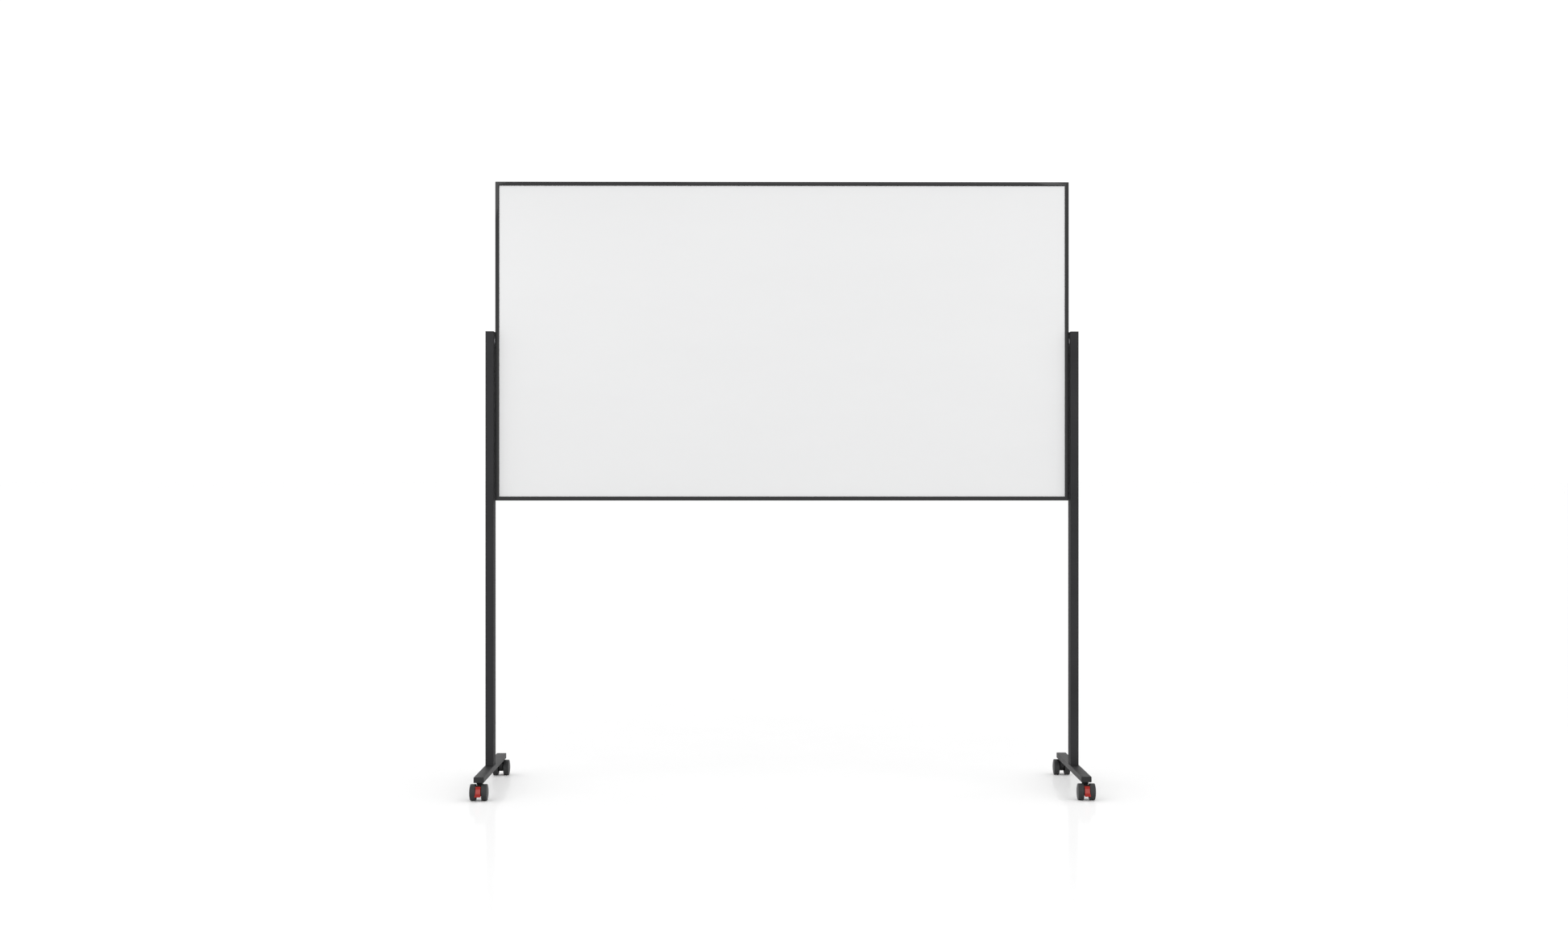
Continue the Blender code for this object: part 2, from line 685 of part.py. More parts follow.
def lever_cam_centre():
    """The cam's middle, shifted from the pivot straight away from the axle."""
    away_y = LEVER_PIVOT_FROM_AXLE
    away_z = LEVER_PIVOT_HEIGHT - WHEEL_RADIUS
    distance = math.hypot(away_y, away_z)
    return (CAM_OFFSET * away_y / distance, CAM_OFFSET * away_z / distance)


def lever_shape():
    """Pad, tongue, trunnions and two brake cams in one moulding, about its pivot."""
    outline = lever_pad_outline()
    side_view = transformed(prism([outline], -CAM_OUTER, CAM_OUTER), SIDEWAYS)
    depth = LEVER_PAD_REACH + LEVER_LIP_REACH
    front_view = transformed(prism([lever_front_outline()], 0.0, depth), LENGTHWAYS)
    pad = common(side_view, front_view)
    radius = LEVER_TONGUE_RADIUS
    tongue_end = LEVER_PAD_REACH - LEVER_PIVOT_FROM_AXLE - LEVER_PAD_THICKNESS / 2
    tongue_outline = arc((0.0, 0.0), radius, 90, 270, FORK_STEPS)
    tongue_outline += [(tongue_end, -radius), (tongue_end, radius)]
    half = LEVER_TONGUE_HALF_WIDTH
    lever = fused(pad, transformed(prism([tongue_outline], -half, half), SIDEWAYS))
    pin = cylinder(TRUNNION_RADIUS, -CAM_OUTER + GAP, CAM_OUTER - GAP, PIN_SEGMENTS)
    lever = fused(lever, transformed(pin, SIDEWAYS))
    for inner, outer in ((CAM_INNER, CAM_OUTER), (-CAM_OUTER, -CAM_INNER)):
        cam = cylinder(CAM_RADIUS, inner, outer, PIN_SEGMENTS, lever_cam_centre())
        lever = fused(lever, transformed(cam, SIDEWAYS))
    return lever


def build_casters(plastic, nylon, red, steel):
    stem_mesh = mesh_from("caster_stem", stem_shape(), steel)
    fork_mesh = mesh_from("caster_fork", fork_shape(), plastic)
    axle_mesh = mesh_from("caster_axle", axle_shape(), steel)
    wheel_mesh = mesh_from("caster_wheel", wheel_shape(), nylon)
    lever_mesh = mesh_from("brake_lever", lever_shape(), red)
    axle_place = (0, CASTER_TRAIL, WHEEL_RADIUS)
    lever_place = (0, CASTER_TRAIL + LEVER_PIVOT_FROM_AXLE, LEVER_PIVOT_HEIGHT)
    for side_name, side in SIDES.items():
        for end_name, end in ENDS.items():
            label = f"{side_name}_{end_name}"
            turn = 0.0 if end > 0 else HALF_TURN
            swivel = guide(f"{label}_swivel", (side * POST_X, end * stem_y(), 0), turn)
            add(f"{label}_caster_stem", stem_mesh, (side * POST_X, end * stem_y(), 0))
            add(f"{label}_caster_fork", fork_mesh, parent=swivel)
            add(f"{label}_caster_axle", axle_mesh, axle_place, parent=swivel)
            add(f"{label}_brake_lever", lever_mesh, lever_place, parent=swivel)
            # The wheel mesh lies on its caster's +X side; the other one is turned round.
            for wheel_name, wheel_side in (("outer", side), ("inner", -side)):
                wheel_turn = 0.0 if wheel_side * end > 0 else HALF_TURN
                name = f"{label}_{wheel_name}_wheel"
                add(name, wheel_mesh, axle_place, wheel_turn, parent=swivel)


# ---------------------------------------------------------------- board
# Every board piece has its origin on the pivot axis, in the middle of the board.

def rail_profile():
    """Section as (distance in from the outer edge, depth) loops: outline and chamber."""
    half = BOARD_THICKNESS / 2
    lip = half - RAIL_WALL
    web = PANEL_INSET - GAP
    outline = [
        (0.0, -half), (RAIL_FACE, -half), (RAIL_FACE, -lip), (web, -lip),
        (web, lip), (RAIL_FACE, lip), (RAIL_FACE, half), (0.0, half),
    ]
    chamber = [
        (RAIL_WALL, -lip), (RAIL_WALL + CHAMBER_DEPTH, -lip),
        (RAIL_WALL + CHAMBER_DEPTH, lip), (RAIL_WALL, lip),
    ]
    return [outline, chamber]


def rail_shape(length, offset):
    """Top rail of a frame: length along X, outer edge at the given height, mitred ends."""
    rail = prism(rail_profile(), -1.0, 1.0)
    mitre_gap = GAP / math.sqrt(2)
    for vert in rail.verts:
        inwards, depth, end = vert.co
        x = end * (length / 2 - inwards - mitre_gap)
        vert.co = (x, depth, offset - inwards)
    return rail


def side_rail_shape():
    """Right-hand rail, standing, with a hole for its pivot bolt."""
    rail = rail_shape(BOARD_HEIGHT, BOARD_WIDTH / 2)
    transformed(rail, Matrix.Rotation(math.pi / 2, 4, "Y"))
    drill = cylinder(PIVOT_BOLT_RADIUS + GAP, -RAIL_WALL, RAIL_WALL, ROUND_SEGMENTS)
    outer_wall = BOARD_WIDTH / 2 - RAIL_WALL / 2
    return cut(rail, moved(transformed(drill, SIDEWAYS), outer_wall))


def corner_key_shape():
    """L-shaped key that joins two rails inside the chamber of the top right corner."""
    outer = RAIL_WALL + GAP
    inner = RAIL_WALL + CHAMBER_DEPTH - GAP
    right = BOARD_WIDTH / 2
    top = BOARD_HEIGHT / 2
    arm = KEY_ARM_LENGTH
    outline = [
        (right - outer, top - outer),
        (right - arm, top - outer),
        (right - arm, top - inner),
        (right - inner, top - inner),
        (right - inner, top - arm),
        (right - outer, top - arm),
    ]
    half = BOARD_THICKNESS / 2 - RAIL_WALL - GAP
    mirrored = [(-x, z) for x, z in outline]
    return transformed(prism([mirrored], -half, half), LENGTHWAYS)


def panel_slab(front, back):
    """Full-size panel layer between two depths."""
    width = BOARD_WIDTH - 2 * PANEL_INSET
    height = BOARD_HEIGHT - 2 * PANEL_INSET
    return transformed(prism([rectangle(width, height)], front, back), LENGTHWAYS)


def build_board(aluminium, enamel, honeycomb, grey):
    centre = guide("board_pivot", (0, 0, PIVOT_HEIGHT))
    half_turn_about_y = (0.0, HALF_TURN, 0.0)
    level_mesh = mesh_from("level_rail", rail_shape(BOARD_WIDTH, BOARD_HEIGHT / 2), aluminium)
    side_mesh = mesh_from("side_rail", side_rail_shape(), aluminium)
    add("frame_top_rail", level_mesh, parent=centre)
    add("frame_bottom_rail", level_mesh, parent=centre).rotation_euler = half_turn_about_y
    add("frame_right_rail", side_mesh, parent=centre)
    add("frame_left_rail", side_mesh, turn=HALF_TURN, parent=centre)
    key_mesh = mesh_from("corner_key", corner_key_shape(), grey)
    add("frame_key_top_right", key_mesh, parent=centre)
    add("frame_key_top_left", key_mesh, turn=HALF_TURN, parent=centre)
    add("frame_key_bottom_left", key_mesh, parent=centre).rotation_euler = half_turn_about_y
    lower_right = add("frame_key_bottom_right", key_mesh, parent=centre)
    lower_right.rotation_euler = (HALF_TURN, 0.0, 0.0)
    face = BOARD_THICKNESS / 2 - RAIL_WALL - GAP
    sheet_back = face - SHEET_THICKNESS
    core_face = sheet_back - GAP
    add("front_writing_sheet", mesh_from("front", panel_slab(-face, -sheet_back), enamel), parent=centre)
    add("board_core", mesh_from("core", panel_slab(-core_face, core_face), honeycomb), parent=centre)
    add("back_writing_sheet", mesh_from("back", panel_slab(sheet_back, face), enamel), parent=centre)


# ---------------------------------------------------------------- pivots
# Drawn for the right-hand side, along +X from the board's outer edge at zero.

def pivot_bolt_shape():
    """T-head that slides in the rail's chamber, and a shank that reaches into the post."""
    head_outer = -RAIL_WALL - GAP
    head_inner = -RAIL_WALL - CHAMBER_DEPTH + GAP
    depth = BOARD_THICKNESS - 2 * (RAIL_WALL + GAP)
    head = prism([rectangle(depth, PIVOT_HEAD_LENGTH)], head_inner, head_outer)
    middle = (head_outer + head_inner) / 2
    shank = cylinder(PIVOT_BOLT_RADIUS, middle, PIVOT_BOLT_END, ROUND_SEGMENTS)
    return transformed(fused(head, shank), SIDEWAYS)


def pivot_bush_shape():
    """Flanged bush: the flange fills the gap beside the frame, the sleeve lines the post."""
    bore = PIVOT_BOLT_RADIUS + GAP
    flange_end = POST_CLEARANCE - GAP
    sleeve_end = POST_CLEARANCE + POST_WALL + BUSH_SLEEVE_INSIDE_POST
    profile = [
        (bore, GAP),
        (BUSH_FLANGE_RADIUS, GAP),
        (BUSH_FLANGE_RADIUS, flange_end),
        (BUSH_SLEEVE_RADIUS, flange_end),
        (BUSH_SLEEVE_RADIUS, sleeve_end),
        (bore, sleeve_end),
    ]
    return transformed(turned(profile, ROUND_SEGMENTS, closed=True), SIDEWAYS)


def pivot_nut_shape():
    start = POST_CLEARANCE + POST_WALL + BUSH_SLEEVE_INSIDE_POST + GAP
    corner_radius = PIVOT_NUT_ACROSS_FLATS / 2 / math.cos(math.pi / HEX_SIDES)
    hexagon = circle((0.0, 0.0), corner_radius, HEX_SIDES)
    bore = circle((0.0, 0.0), PIVOT_BOLT_RADIUS + GAP, ROUND_SEGMENTS)
    return transformed(prism([hexagon, bore], start, start + PIVOT_NUT_HEIGHT), SIDEWAYS)


def build_pivots(steel, grey):
    bolt_mesh = mesh_from("pivot_bolt", pivot_bolt_shape(), steel)
    bush_mesh = mesh_from("pivot_bush", pivot_bush_shape(), grey)
    nut_mesh = mesh_from("pivot_nut", pivot_nut_shape(), steel)
    for side_name, side in SIDES.items():
        place = (side * BOARD_WIDTH / 2, 0, PIVOT_HEIGHT)
        turn = 0.0 if side > 0 else HALF_TURN
        add(f"{side_name}_pivot_bolt", bolt_mesh, place, turn)
        add(f"{side_name}_pivot_bush", bush_mesh, place, turn)
        add(f"{side_name}_pivot_nut", nut_mesh, place, turn)


def main():
    for item in list(bpy.data.objects):
        bpy.data.objects.remove(item)
    plastic = black_plastic()
    steel = zinc_plated_steel()
    grey = grey_nylon()
    build_stand(black_powder_coat(), plastic, steel)
    build_casters(plastic, wheel_nylon(), red_plastic(), steel)
    build_board(black_anodised_aluminium(), white_enamel(), honeycomb_board(), grey)
    build_pivots(steel, grey)


main()
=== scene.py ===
import json
import math

import bmesh
import bpy
from mathutils import Matrix, Vector


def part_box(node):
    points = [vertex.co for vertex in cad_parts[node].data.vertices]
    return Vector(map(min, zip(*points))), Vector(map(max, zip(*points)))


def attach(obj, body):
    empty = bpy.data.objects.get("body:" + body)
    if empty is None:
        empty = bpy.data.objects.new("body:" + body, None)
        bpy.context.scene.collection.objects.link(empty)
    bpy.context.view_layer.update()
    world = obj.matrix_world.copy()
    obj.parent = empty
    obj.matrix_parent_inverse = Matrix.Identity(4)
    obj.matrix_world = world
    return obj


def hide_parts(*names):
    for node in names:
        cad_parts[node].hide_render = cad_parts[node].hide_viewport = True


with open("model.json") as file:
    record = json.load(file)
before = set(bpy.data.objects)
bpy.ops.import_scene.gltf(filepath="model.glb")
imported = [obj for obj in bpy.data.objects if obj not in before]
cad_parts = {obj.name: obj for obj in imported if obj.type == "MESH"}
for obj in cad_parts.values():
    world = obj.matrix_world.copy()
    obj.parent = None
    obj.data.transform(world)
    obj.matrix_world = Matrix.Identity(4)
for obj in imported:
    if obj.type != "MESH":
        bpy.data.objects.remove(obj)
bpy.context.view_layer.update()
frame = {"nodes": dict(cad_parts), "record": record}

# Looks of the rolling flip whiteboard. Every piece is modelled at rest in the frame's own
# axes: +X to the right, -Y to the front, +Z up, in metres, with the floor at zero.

SIDES = {"left": -1, "right": 1}
ENDS = {"front": -1, "rear": 1}
HALF_TURN = math.pi

# Gap left between pieces that touch on the real object.
GAP = 0.0003
MERGE_DISTANCE = 0.000001
SMOOTH_ANGLE = math.radians(32)

# How finely round shapes are drawn
WHEEL_SEGMENTS = 96
HOOD_SEGMENTS = 64
ROUND_SEGMENTS = 48
CORNER_STEPS = 6

# Tubes of the stand
TUBE_WALL = 0.002
POST_CORNER = 0.002
BAR_CORNER = 0.0018
BORE_CORNER = 0.0007
CAP_EDGE = 0.0005
POST_CAP_WALL = 0.0022
POST_CAP_PLATE = 0.0027
POST_CAP_POCKET_ROOF = 0.0013
FOOT_CAP_PLATE = 0.0027
INSERT_LEAD = 0.0012
STEM_HOLE_RADIUS = 0.0043
BUSH_HOLE_RADIUS = 0.0073
PLUG_HOLE_RADIUS = 0.0033
BOLT_HOLE_RADIUS = 0.0043
BOLT_ACCESS_RADIUS = 0.0075

# Plugs in the posts' inner faces
PLUG_HEAD_RADIUS = 0.0045
PLUG_HEAD_HEIGHT = 0.0012
PLUG_SHANK_RADIUS = 0.0030
PLUG_SHANK_LENGTH = 0.0060
PLUG_GROOVE_RADIUS = 0.0026
PLUG_GROOVE_AT = 0.0036
PLUG_TIP_RADIUS = 0.0022

# Casters
STEM_RADIUS = 0.004
STEM_GROOVE_DEPTH = 0.0004
STEM_GROOVE_HALF_FLOOR = 0.0006
STEM_GROOVE_HALF_MOUTH = 0.001
JOURNAL_RADIUS = 0.003
COLLAR_RADIUS = 0.0058
AXLE_RADIUS = 0.003
SKIRT_RADIUS = 0.0083
SKIRT_BOTTOM = 0.0448
HOOD_RADIUS = 0.0101
HOOD_BOTTOM = 0.0465
HOOD_TOP = 0.0496
NECK_RADIUS = 0.0084
NECK_BOTTOM = 0.0508
NECK_TOP = 0.0524
SLAB_TOP = HOOD_BOTTOM + 0.0006
COLLAR_BOTTOM = 0.0527
COLLAR_TOP = 0.0536
JOURNAL_BOTTOM = 0.039
FORK_HALF_WIDTH = 0.0065
FORK_BACK = 0.0082
FORK_BOSS_RADIUS = 0.0118
FORK_EDGE = 0.0009
FORK_HUB_RADIUS = 0.0062
FORK_HUB_RISE = 0.0003
POCKET_DEPTH = 0.0012
POCKET_CORNER = 0.0012
CHEEK_RADIUS = 0.005

# Wheels: radii, and distances from the caster's middle plane
WHEEL_RADIUS = 0.025
WHEEL_INNER_FACE = 0.00865
WHEEL_SHOULDER = 0.0256
WHEEL_CROWN = 0.0287
WHEEL_BORE_RADIUS = 0.0033
WHEEL_BORE_END = 0.0240
WHEEL_HUB_RADIUS = 0.0068
WHEEL_HUB_FACE = 0.0071
WHEEL_RIM_INNER_RADIUS = 0.0213
WHEEL_WEB_FACE = 0.0215
DOME_RADIUS = 0.0226
DOME_EDGE = 0.02605
DOME_RING_RADIUS = 0.0214
DOME_STEPS = 8
GROOVE_OUTER_RADIUS = 0.0199
GROOVE_INNER_RADIUS = 0.0193
GROOVE_SLOPE = 0.0001
GROOVE_DEPTH = 0.0004
RIBS = 6
RIB_HALF_THICKNESS = 0.0007
RIB_INNER_RADIUS = 0.006
RIB_OUTER_RADIUS = 0.0218
RIB_FACE = 0.0135
RIB_ROOT = 0.0222

# Brake lever, from its pivot
LEVER_PIVOT_FROM_AXLE = 0.009
LEVER_PIVOT_HEIGHT = 0.040
PAD_TOP = 0.0045
PAD_HEIGHT = 0.030
PAD_FRONT = 0.015
PAD_THICKNESS = 0.0036
LIP_REACH = 0.013
LIP_CURVE = 1.6
PAD_TOP_HALF_WIDTH = 0.00825
PAD_WAIST_HALF_WIDTH = 0.0074
PAD_LIP_HALF_WIDTH = 0.0102
PAD_WAIST_AT = 0.45
PAD_CORNER = 0.0028
PAD_EDGE = 0.0013
PAD_SIDE_SQUARENESS = 0.28
PAD_FACE_SQUARENESS = 0.55
PAD_HOLLOW = 0.0007
PAD_HOLLOW_END = 0.8
PAD_LEVELS = 96
PAD_POINTS = 40
PAD_END_SHARE = 0.004
GRIP_START = 0.56
GRIP_END = 0.92
GRIP_GROOVES = 4
GRIP_DEPTH = 0.00045
GRIP_WIDTH_SHARE = 0.86
TONGUE_RADIUS = 0.0034
TONGUE_HALF_WIDTH = 0.004
TONGUE_EDGE = 0.0006
LEVER_SLOT_BACK = 2 * TONGUE_RADIUS
LEVER_SLOT_FRONT = 2 * CHEEK_RADIUS
LEVER_SLOT_DEPTH = 1.8 * TONGUE_RADIUS
TRUNNION_RADIUS = 0.002
TRUNNION_MOUTH = 0.0039
CAM_RADIUS = 0.0026
CAM_OFFSET = 0.0008
CAM_INNER = 0.0069
CAM_OUTER = 0.0112
# Heights from the pivot of the band of painted highlight across the lever pad, and how far it fades
PAINTED_HIGHLIGHT_TOP = -0.0012
PAINTED_HIGHLIGHT_BOTTOM = -0.0182
PAINTED_HIGHLIGHT_FADE = 0.004

# Board. Its rails have a chamber along the outside, then two lips over the panel's edge.
RAIL_FACE = 0.0125
RAIL_WALL = 0.0015
CHAMBER_DEPTH = 0.0055
RAIL_EDGE = 0.0009
LIP_EDGE = 0.0004
SHEET_CORNER = 0.0015
SHEET_EDGE = 0.0001
PIVOT_BOLT_RADIUS = 0.005
BUSH_SLEEVE_RADIUS = 0.007

# Camera and studio
LENS = 50.0
SENSOR = 36.0
CAMERA_PLACE = (-0.0466, -6.842, 0.9944)
CAMERA_TURN = math.radians(-0.436)
FLOOR_SIZE = 400.0
WORLD_BRIGHTNESS = 1.08

# Turns a shape drawn in XY and raised along Z into one drawn in YZ and raised along X.
SIDEWAYS = Matrix(((0, 0, 1, 0), (1, 0, 0, 0), (0, 1, 0, 0), (0, 0, 0, 1)))
# Turns a shape drawn in XY and raised along Z into one drawn in XZ and raised along +Y.
LENGTHWAYS = Matrix(((-1, 0, 0, 0), (0, 0, 1, 0), (0, 1, 0, 0), (0, 0, 0, 1)))


# ---------------------------------------------------------------- outlines

def arc(centre, radius, start, end, steps):
    """Points of an arc in the plane, both ends included; angles in degrees."""
    points = []
    for step in range(steps + 1):
        angle = math.radians(start + (end - start) * step / steps)
        points.append((centre[0] + radius * math.cos(angle), centre[1] + radius * math.sin(angle)))
    return points


def circle(radius, centre=(0.0, 0.0), segments=ROUND_SEGMENTS):
    return arc(centre, radius, 0, 360, segments)[:-1]


def filleted(corners, steps=CORNER_STEPS):
    """Outline of (x, y, radius) corners, each rounded off to its radius."""
    outline = []
    for index, (x, y, radius) in enumerate(corners):
        if not radius:
            outline.append((x, y))
            continue
        here = Vector((x, y))
        before = (Vector(corners[index - 1][:2]) - here).normalized()
        after = (Vector(corners[(index + 1) % len(corners)][:2]) - here).normalized()
        half_angle = before.angle(after) / 2
        centre = here + (before + after).normalized() * radius / math.sin(half_angle)
        reach = radius / math.tan(half_angle)
        first = here + before * reach - centre
        last = here + after * reach - centre
        start = math.degrees(math.atan2(first.y, first.x))
        sweep = math.degrees(math.atan2(last.y, last.x)) - start
        sweep = (sweep + 180) % 360 - 180
        outline += arc(centre, radius, start, start + sweep, steps)
    return outline


def rounded_rectangle(width, height, radius):
    x = width / 2
    y = height / 2
    return filleted([(x, y, radius), (-x, y, radius), (-x, -y, radius), (x, -y, radius)])


# ---------------------------------------------------------------- shapes

def prism(loops, bottom, top):
    """Solid between two heights; the first loop is its outline, the others are holes."""
    bm = bmesh.new()
    for loop in loops:
        verts = [bm.verts.new((x, y, bottom)) for x, y in loop]
        for first, second in zip(verts, verts[1:] + verts[:1]):
            bm.edges.new((first, second))
    bmesh.ops.triangle_fill(bm, use_beauty=True, use_dissolve=False, edges=bm.edges[:])
    grown = bmesh.ops.extrude_face_region(bm, geom=bm.faces[:])
    raised = [item for item in grown["geom"] if isinstance(item, bmesh.types.BMVert)]
    bmesh.ops.translate(bm, verts=raised, vec=(0, 0, top - bottom))
    bmesh.ops.recalc_face_normals(bm, faces=bm.faces[:])
    return bm


def lofted(loops):
    """Solid through (outline, height) loops that all have the same number of points."""
    bm = bmesh.new()
    rings = []
    for outline, height in loops:
        rings.append([bm.verts.new((x, y, height)) for x, y in outline])
    for lower, upper in zip(rings, rings[1:]):
        for index in range(len(lower)):
            bm.faces.new((lower[index - 1], lower[index], upper[index], upper[index - 1]))
    bm.faces.new(rings[0])
    bm.faces.new(rings[-1])
    bmesh.ops.recalc_face_normals(bm, faces=bm.faces[:])
    return bm


def turned(profile, segments=ROUND_SEGMENTS, closed=False):
    """Solid of (radius, height) points spun about Z. An open profile ends on the axis."""
    bm = bmesh.new()
    verts = [bm.verts.new((radius, 0, height)) for radius, height in profile]
    ends = verts[1:] + verts[:1] if closed else verts[1:]
    edges = [bm.edges.new(pair) for pair in zip(verts, ends)]
    bmesh.ops.spin(
        bm,
        geom=verts + edges,
        cent=(0, 0, 0),
        axis=(0, 0, 1),
        angle=2 * math.pi,
        steps=segments,
        use_merge=True,
    )
    bmesh.ops.remove_doubles(bm, verts=bm.verts[:], dist=MERGE_DISTANCE)
    bmesh.ops.recalc_face_normals(bm, faces=bm.faces[:])
    return bm


def moved(bm, x=0.0, y=0.0, z=0.0):
    bmesh.ops.translate(bm, verts=bm.verts[:], vec=(x, y, z))
    return bm


def transformed(bm, matrix):
    bmesh.ops.transform(bm, matrix=matrix, verts=bm.verts[:])
    return bm


def cylinder(radius, bottom, top, centre=(0.0, 0.0), segments=ROUND_SEGMENTS):
    return prism([circle(radius, centre, segments)], bottom, top)


def softened(bm, width, test, segments=3):
    """Round off the sharp edges whose two ends both pass the test."""
    edges = [edge for edge in bm.edges if all(test(vert.co) for vert in edge.verts)]
    sharp = [edge for edge in edges if edge.calc_face_angle(0) > SMOOTH_ANGLE]
    bmesh.ops.bevel(bm, geom=sharp, offset=width, segments=segments, profile=0.5, affect="EDGES")
    return bm


def temporary_object(bm):
    mesh = bpy.data.meshes.new("temporary")
    bm.to_mesh(mesh)
    bm.free()
    item = bpy.data.objects.new("temporary", mesh)
    bpy.context.scene.collection.objects.link(item)
    return item


def combined(body, tool, operation):
    """Boolean of two closed shapes, which are both used up."""
    base = temporary_object(body)
    other = temporary_object(tool)
    modifier = base.modifiers.new("combine", "BOOLEAN")
    modifier.operation = operation
    modifier.solver = "EXACT"
    modifier.object = other
    graph = bpy.context.evaluated_depsgraph_get()
    mesh = bpy.data.meshes.new_from_object(base.evaluated_get(graph))
    bm = bmesh.new()
    bm.from_mesh(mesh)
    bmesh.ops.remove_doubles(bm, verts=bm.verts[:], dist=MERGE_DISTANCE)
    for item in (base, other):
        used_mesh = item.data
        bpy.data.objects.remove(item)
        bpy.data.meshes.remove(used_mesh)
    bpy.data.meshes.remove(mesh)
    return bm


def cut(body, *tools):
    for tool in tools:
        body = combined(body, tool, "DIFFERENCE")
    return body


def fused(body, *tools):
    for tool in tools:
        body = combined(body, tool, "UNION")
    return body


# ---------------------------------------------------------------- finishes

def node(tree, kind, inputs, **settings):
    """Add a shader node; an input is a plain value or another node's output."""
    made = tree.nodes.new(kind)
    for name, value in settings.items():
        setattr(made, name, value)
    for name, value in inputs.items():
        if isinstance(value, bpy.types.NodeSocket):
            tree.links.new(value, made.inputs[name])
        else:
            made.inputs[name].default_value = value
    return made


def surface(name, metallic=0.0, specular=0.5, coat=0.0, coat_roughness=0.1):
    """Start a material: its tree, its shader and the piece's own coordinates."""
    item = bpy.data.materials.new(name)
    item.use_nodes = True
    tree = item.node_tree
    shader = tree.nodes["Principled BSDF"]
    shader.inputs["Metallic"].default_value = metallic
    shader.inputs["Specular IOR Level"].default_value = specular
    shader.inputs["Coat Weight"].default_value = coat
    shader.inputs["Coat Roughness"].default_value = coat_roughness
    place = node(tree, "ShaderNodeTexCoord", {}).outputs["Object"]
    return item, tree, shader, place


def stretched(tree, place, scale):
    """Coordinates scaled by axis, so that a pattern runs along the least scaled one."""
    mapping = node(tree, "ShaderNodeMapping", {"Vector": place, "Scale": scale})
    return mapping.outputs["Vector"]


def noise(tree, place, scale, detail=2.0, roughness=0.5):
    settings = {"Vector": place, "Scale": scale, "Detail": detail, "Roughness": roughness}
    return node(tree, "ShaderNodeTexNoise", settings).outputs["Fac"]


def remapped(tree, value, low, high, start=0.3, stop=0.7):
    """Value between start and stop spread from low to high."""
    settings = {"Value": value, "From Min": start, "From Max": stop, "To Min": low, "To Max": high}
    return node(tree, "ShaderNodeMapRange", settings).outputs["Result"]


def maths(tree, operation, first, second):
    made = node(tree, "ShaderNodeMath", {}, operation=operation)
    for socket, value in zip(made.inputs, (first, second)):
        if isinstance(value, bpy.types.NodeSocket):
            tree.links.new(value, socket)
        else:
            socket.default_value = value
    return made.outputs["Value"]


def shades(tree, share, dark, light):
    """Colour ramp between two colours, driven by share."""
    ramp = tree.nodes.new("ShaderNodeValToRGB")
    tree.links.new(share, ramp.inputs["Fac"])
    ramp.color_ramp.elements[0].color = (*dark, 1.0)
    ramp.color_ramp.elements[1].color = (*light, 1.0)
    ramp.color_ramp.elements[0].position = 0.3
    ramp.color_ramp.elements[1].position = 0.7
    return ramp.outputs["Color"]


def coloured(tree, shader, share, dark, light):
    tree.links.new(shades(tree, share, dark, light), shader.inputs["Base Color"])


def roughened(tree, shader, share, low, high, start=0.3, stop=0.7):
    tree.links.new(remapped(tree, share, low, high, start, stop), shader.inputs["Roughness"])


def blended(tree, first, second, share):
    """Share of the first value, and the rest of the second."""
    part = maths(tree, "MULTIPLY", first, share)
    rest = maths(tree, "MULTIPLY", second, 1 - share)
    return maths(tree, "ADD", part, rest)


def own_coordinates(tree):
    """The coordinates that the piece's shape was drawn in."""
    return node(tree, "ShaderNodeAttribute", {}, attribute_name="local").outputs["Vector"]


def tinted(colour, factor):
    return tuple(min(1.0, channel * factor) for channel in colour)


def relief(tree, shader, height, distance, strength=1.0):
    settings = {"Height": height, "Distance": distance, "Strength": strength}
    bump = node(tree, "ShaderNodeBump", settings)
    tree.links.new(bump.outputs["Normal"], shader.inputs["Normal"])


def powder_coat(name, colour, roughness, specular):
    """Satin powder coat: fine orange peel, speckle, and broad handling marks."""
    item, tree, shader, place = surface(name, specular=specular)
    peel = noise(tree, place, 620.0, 2.0)
    speckle = noise(tree, place, 2600.0, 1.0)
    haze = noise(tree, place, 7.0, 4.0, 0.6)
    mottle = blended(tree, haze, speckle, 0.6)
    coloured(tree, shader, mottle, tinted(colour, 0.8), tinted(colour, 1.25))
    roughened(tree, shader, haze, roughness - 0.05, roughness + 0.06)
    relief(tree, shader, maths(tree, "ADD", peel, maths(tree, "MULTIPLY", speckle, 0.3)), 0.00003)
    return item


def drawn_aluminium(name, along):
    """Black anodised extrusion: die lines along its length, under a clear satin seal."""
    item, tree, shader, place = surface(name, specular=0.0, coat=0.85, coat_roughness=0.025)
    across = 1500.0
    scale = [across, across, across]
    scale["xyz".index(along)] = across * 0.004
    lines = noise(tree, stretched(tree, place, tuple(scale)), 1.0, 3.0, 0.6)
    haze = noise(tree, place, 5.0, 3.0)
    colour = (0.011, 0.011, 0.0117)
    share = blended(tree, lines, haze, 0.55)
    coloured(tree, shader, share, tinted(colour, 0.8), tinted(colour, 1.2))
    roughened(tree, shader, share, 0.36, 0.46)
    relief(tree, shader, lines, 0.000012)
    return item


def moulded_plastic(name, colour, roughness, specular=0.5, grain=1400.0, depth=0.00003):
    """Injection-moulded plastic: spark-eroded grain and slow flow marks."""
    item, tree, shader, place = surface(name, specular=specular)
    settings = {"Vector": place, "Scale": grain}
    pebble = node(tree, "ShaderNodeTexVoronoi", settings, feature="SMOOTH_F1")
    flow = noise(tree, place, 60.0, 3.0, 0.55)
    dust = noise(tree, place, 420.0, 4.0, 0.65)
    share = blended(tree, flow, dust, 0.55)
    coloured(tree, shader, share, tinted(colour, 0.84), tinted(colour, 1.18))
    roughened(tree, shader, share, roughness - 0.05, roughness + 0.07)
    relief(tree, shader, pebble.outputs["Distance"], depth)
    return item


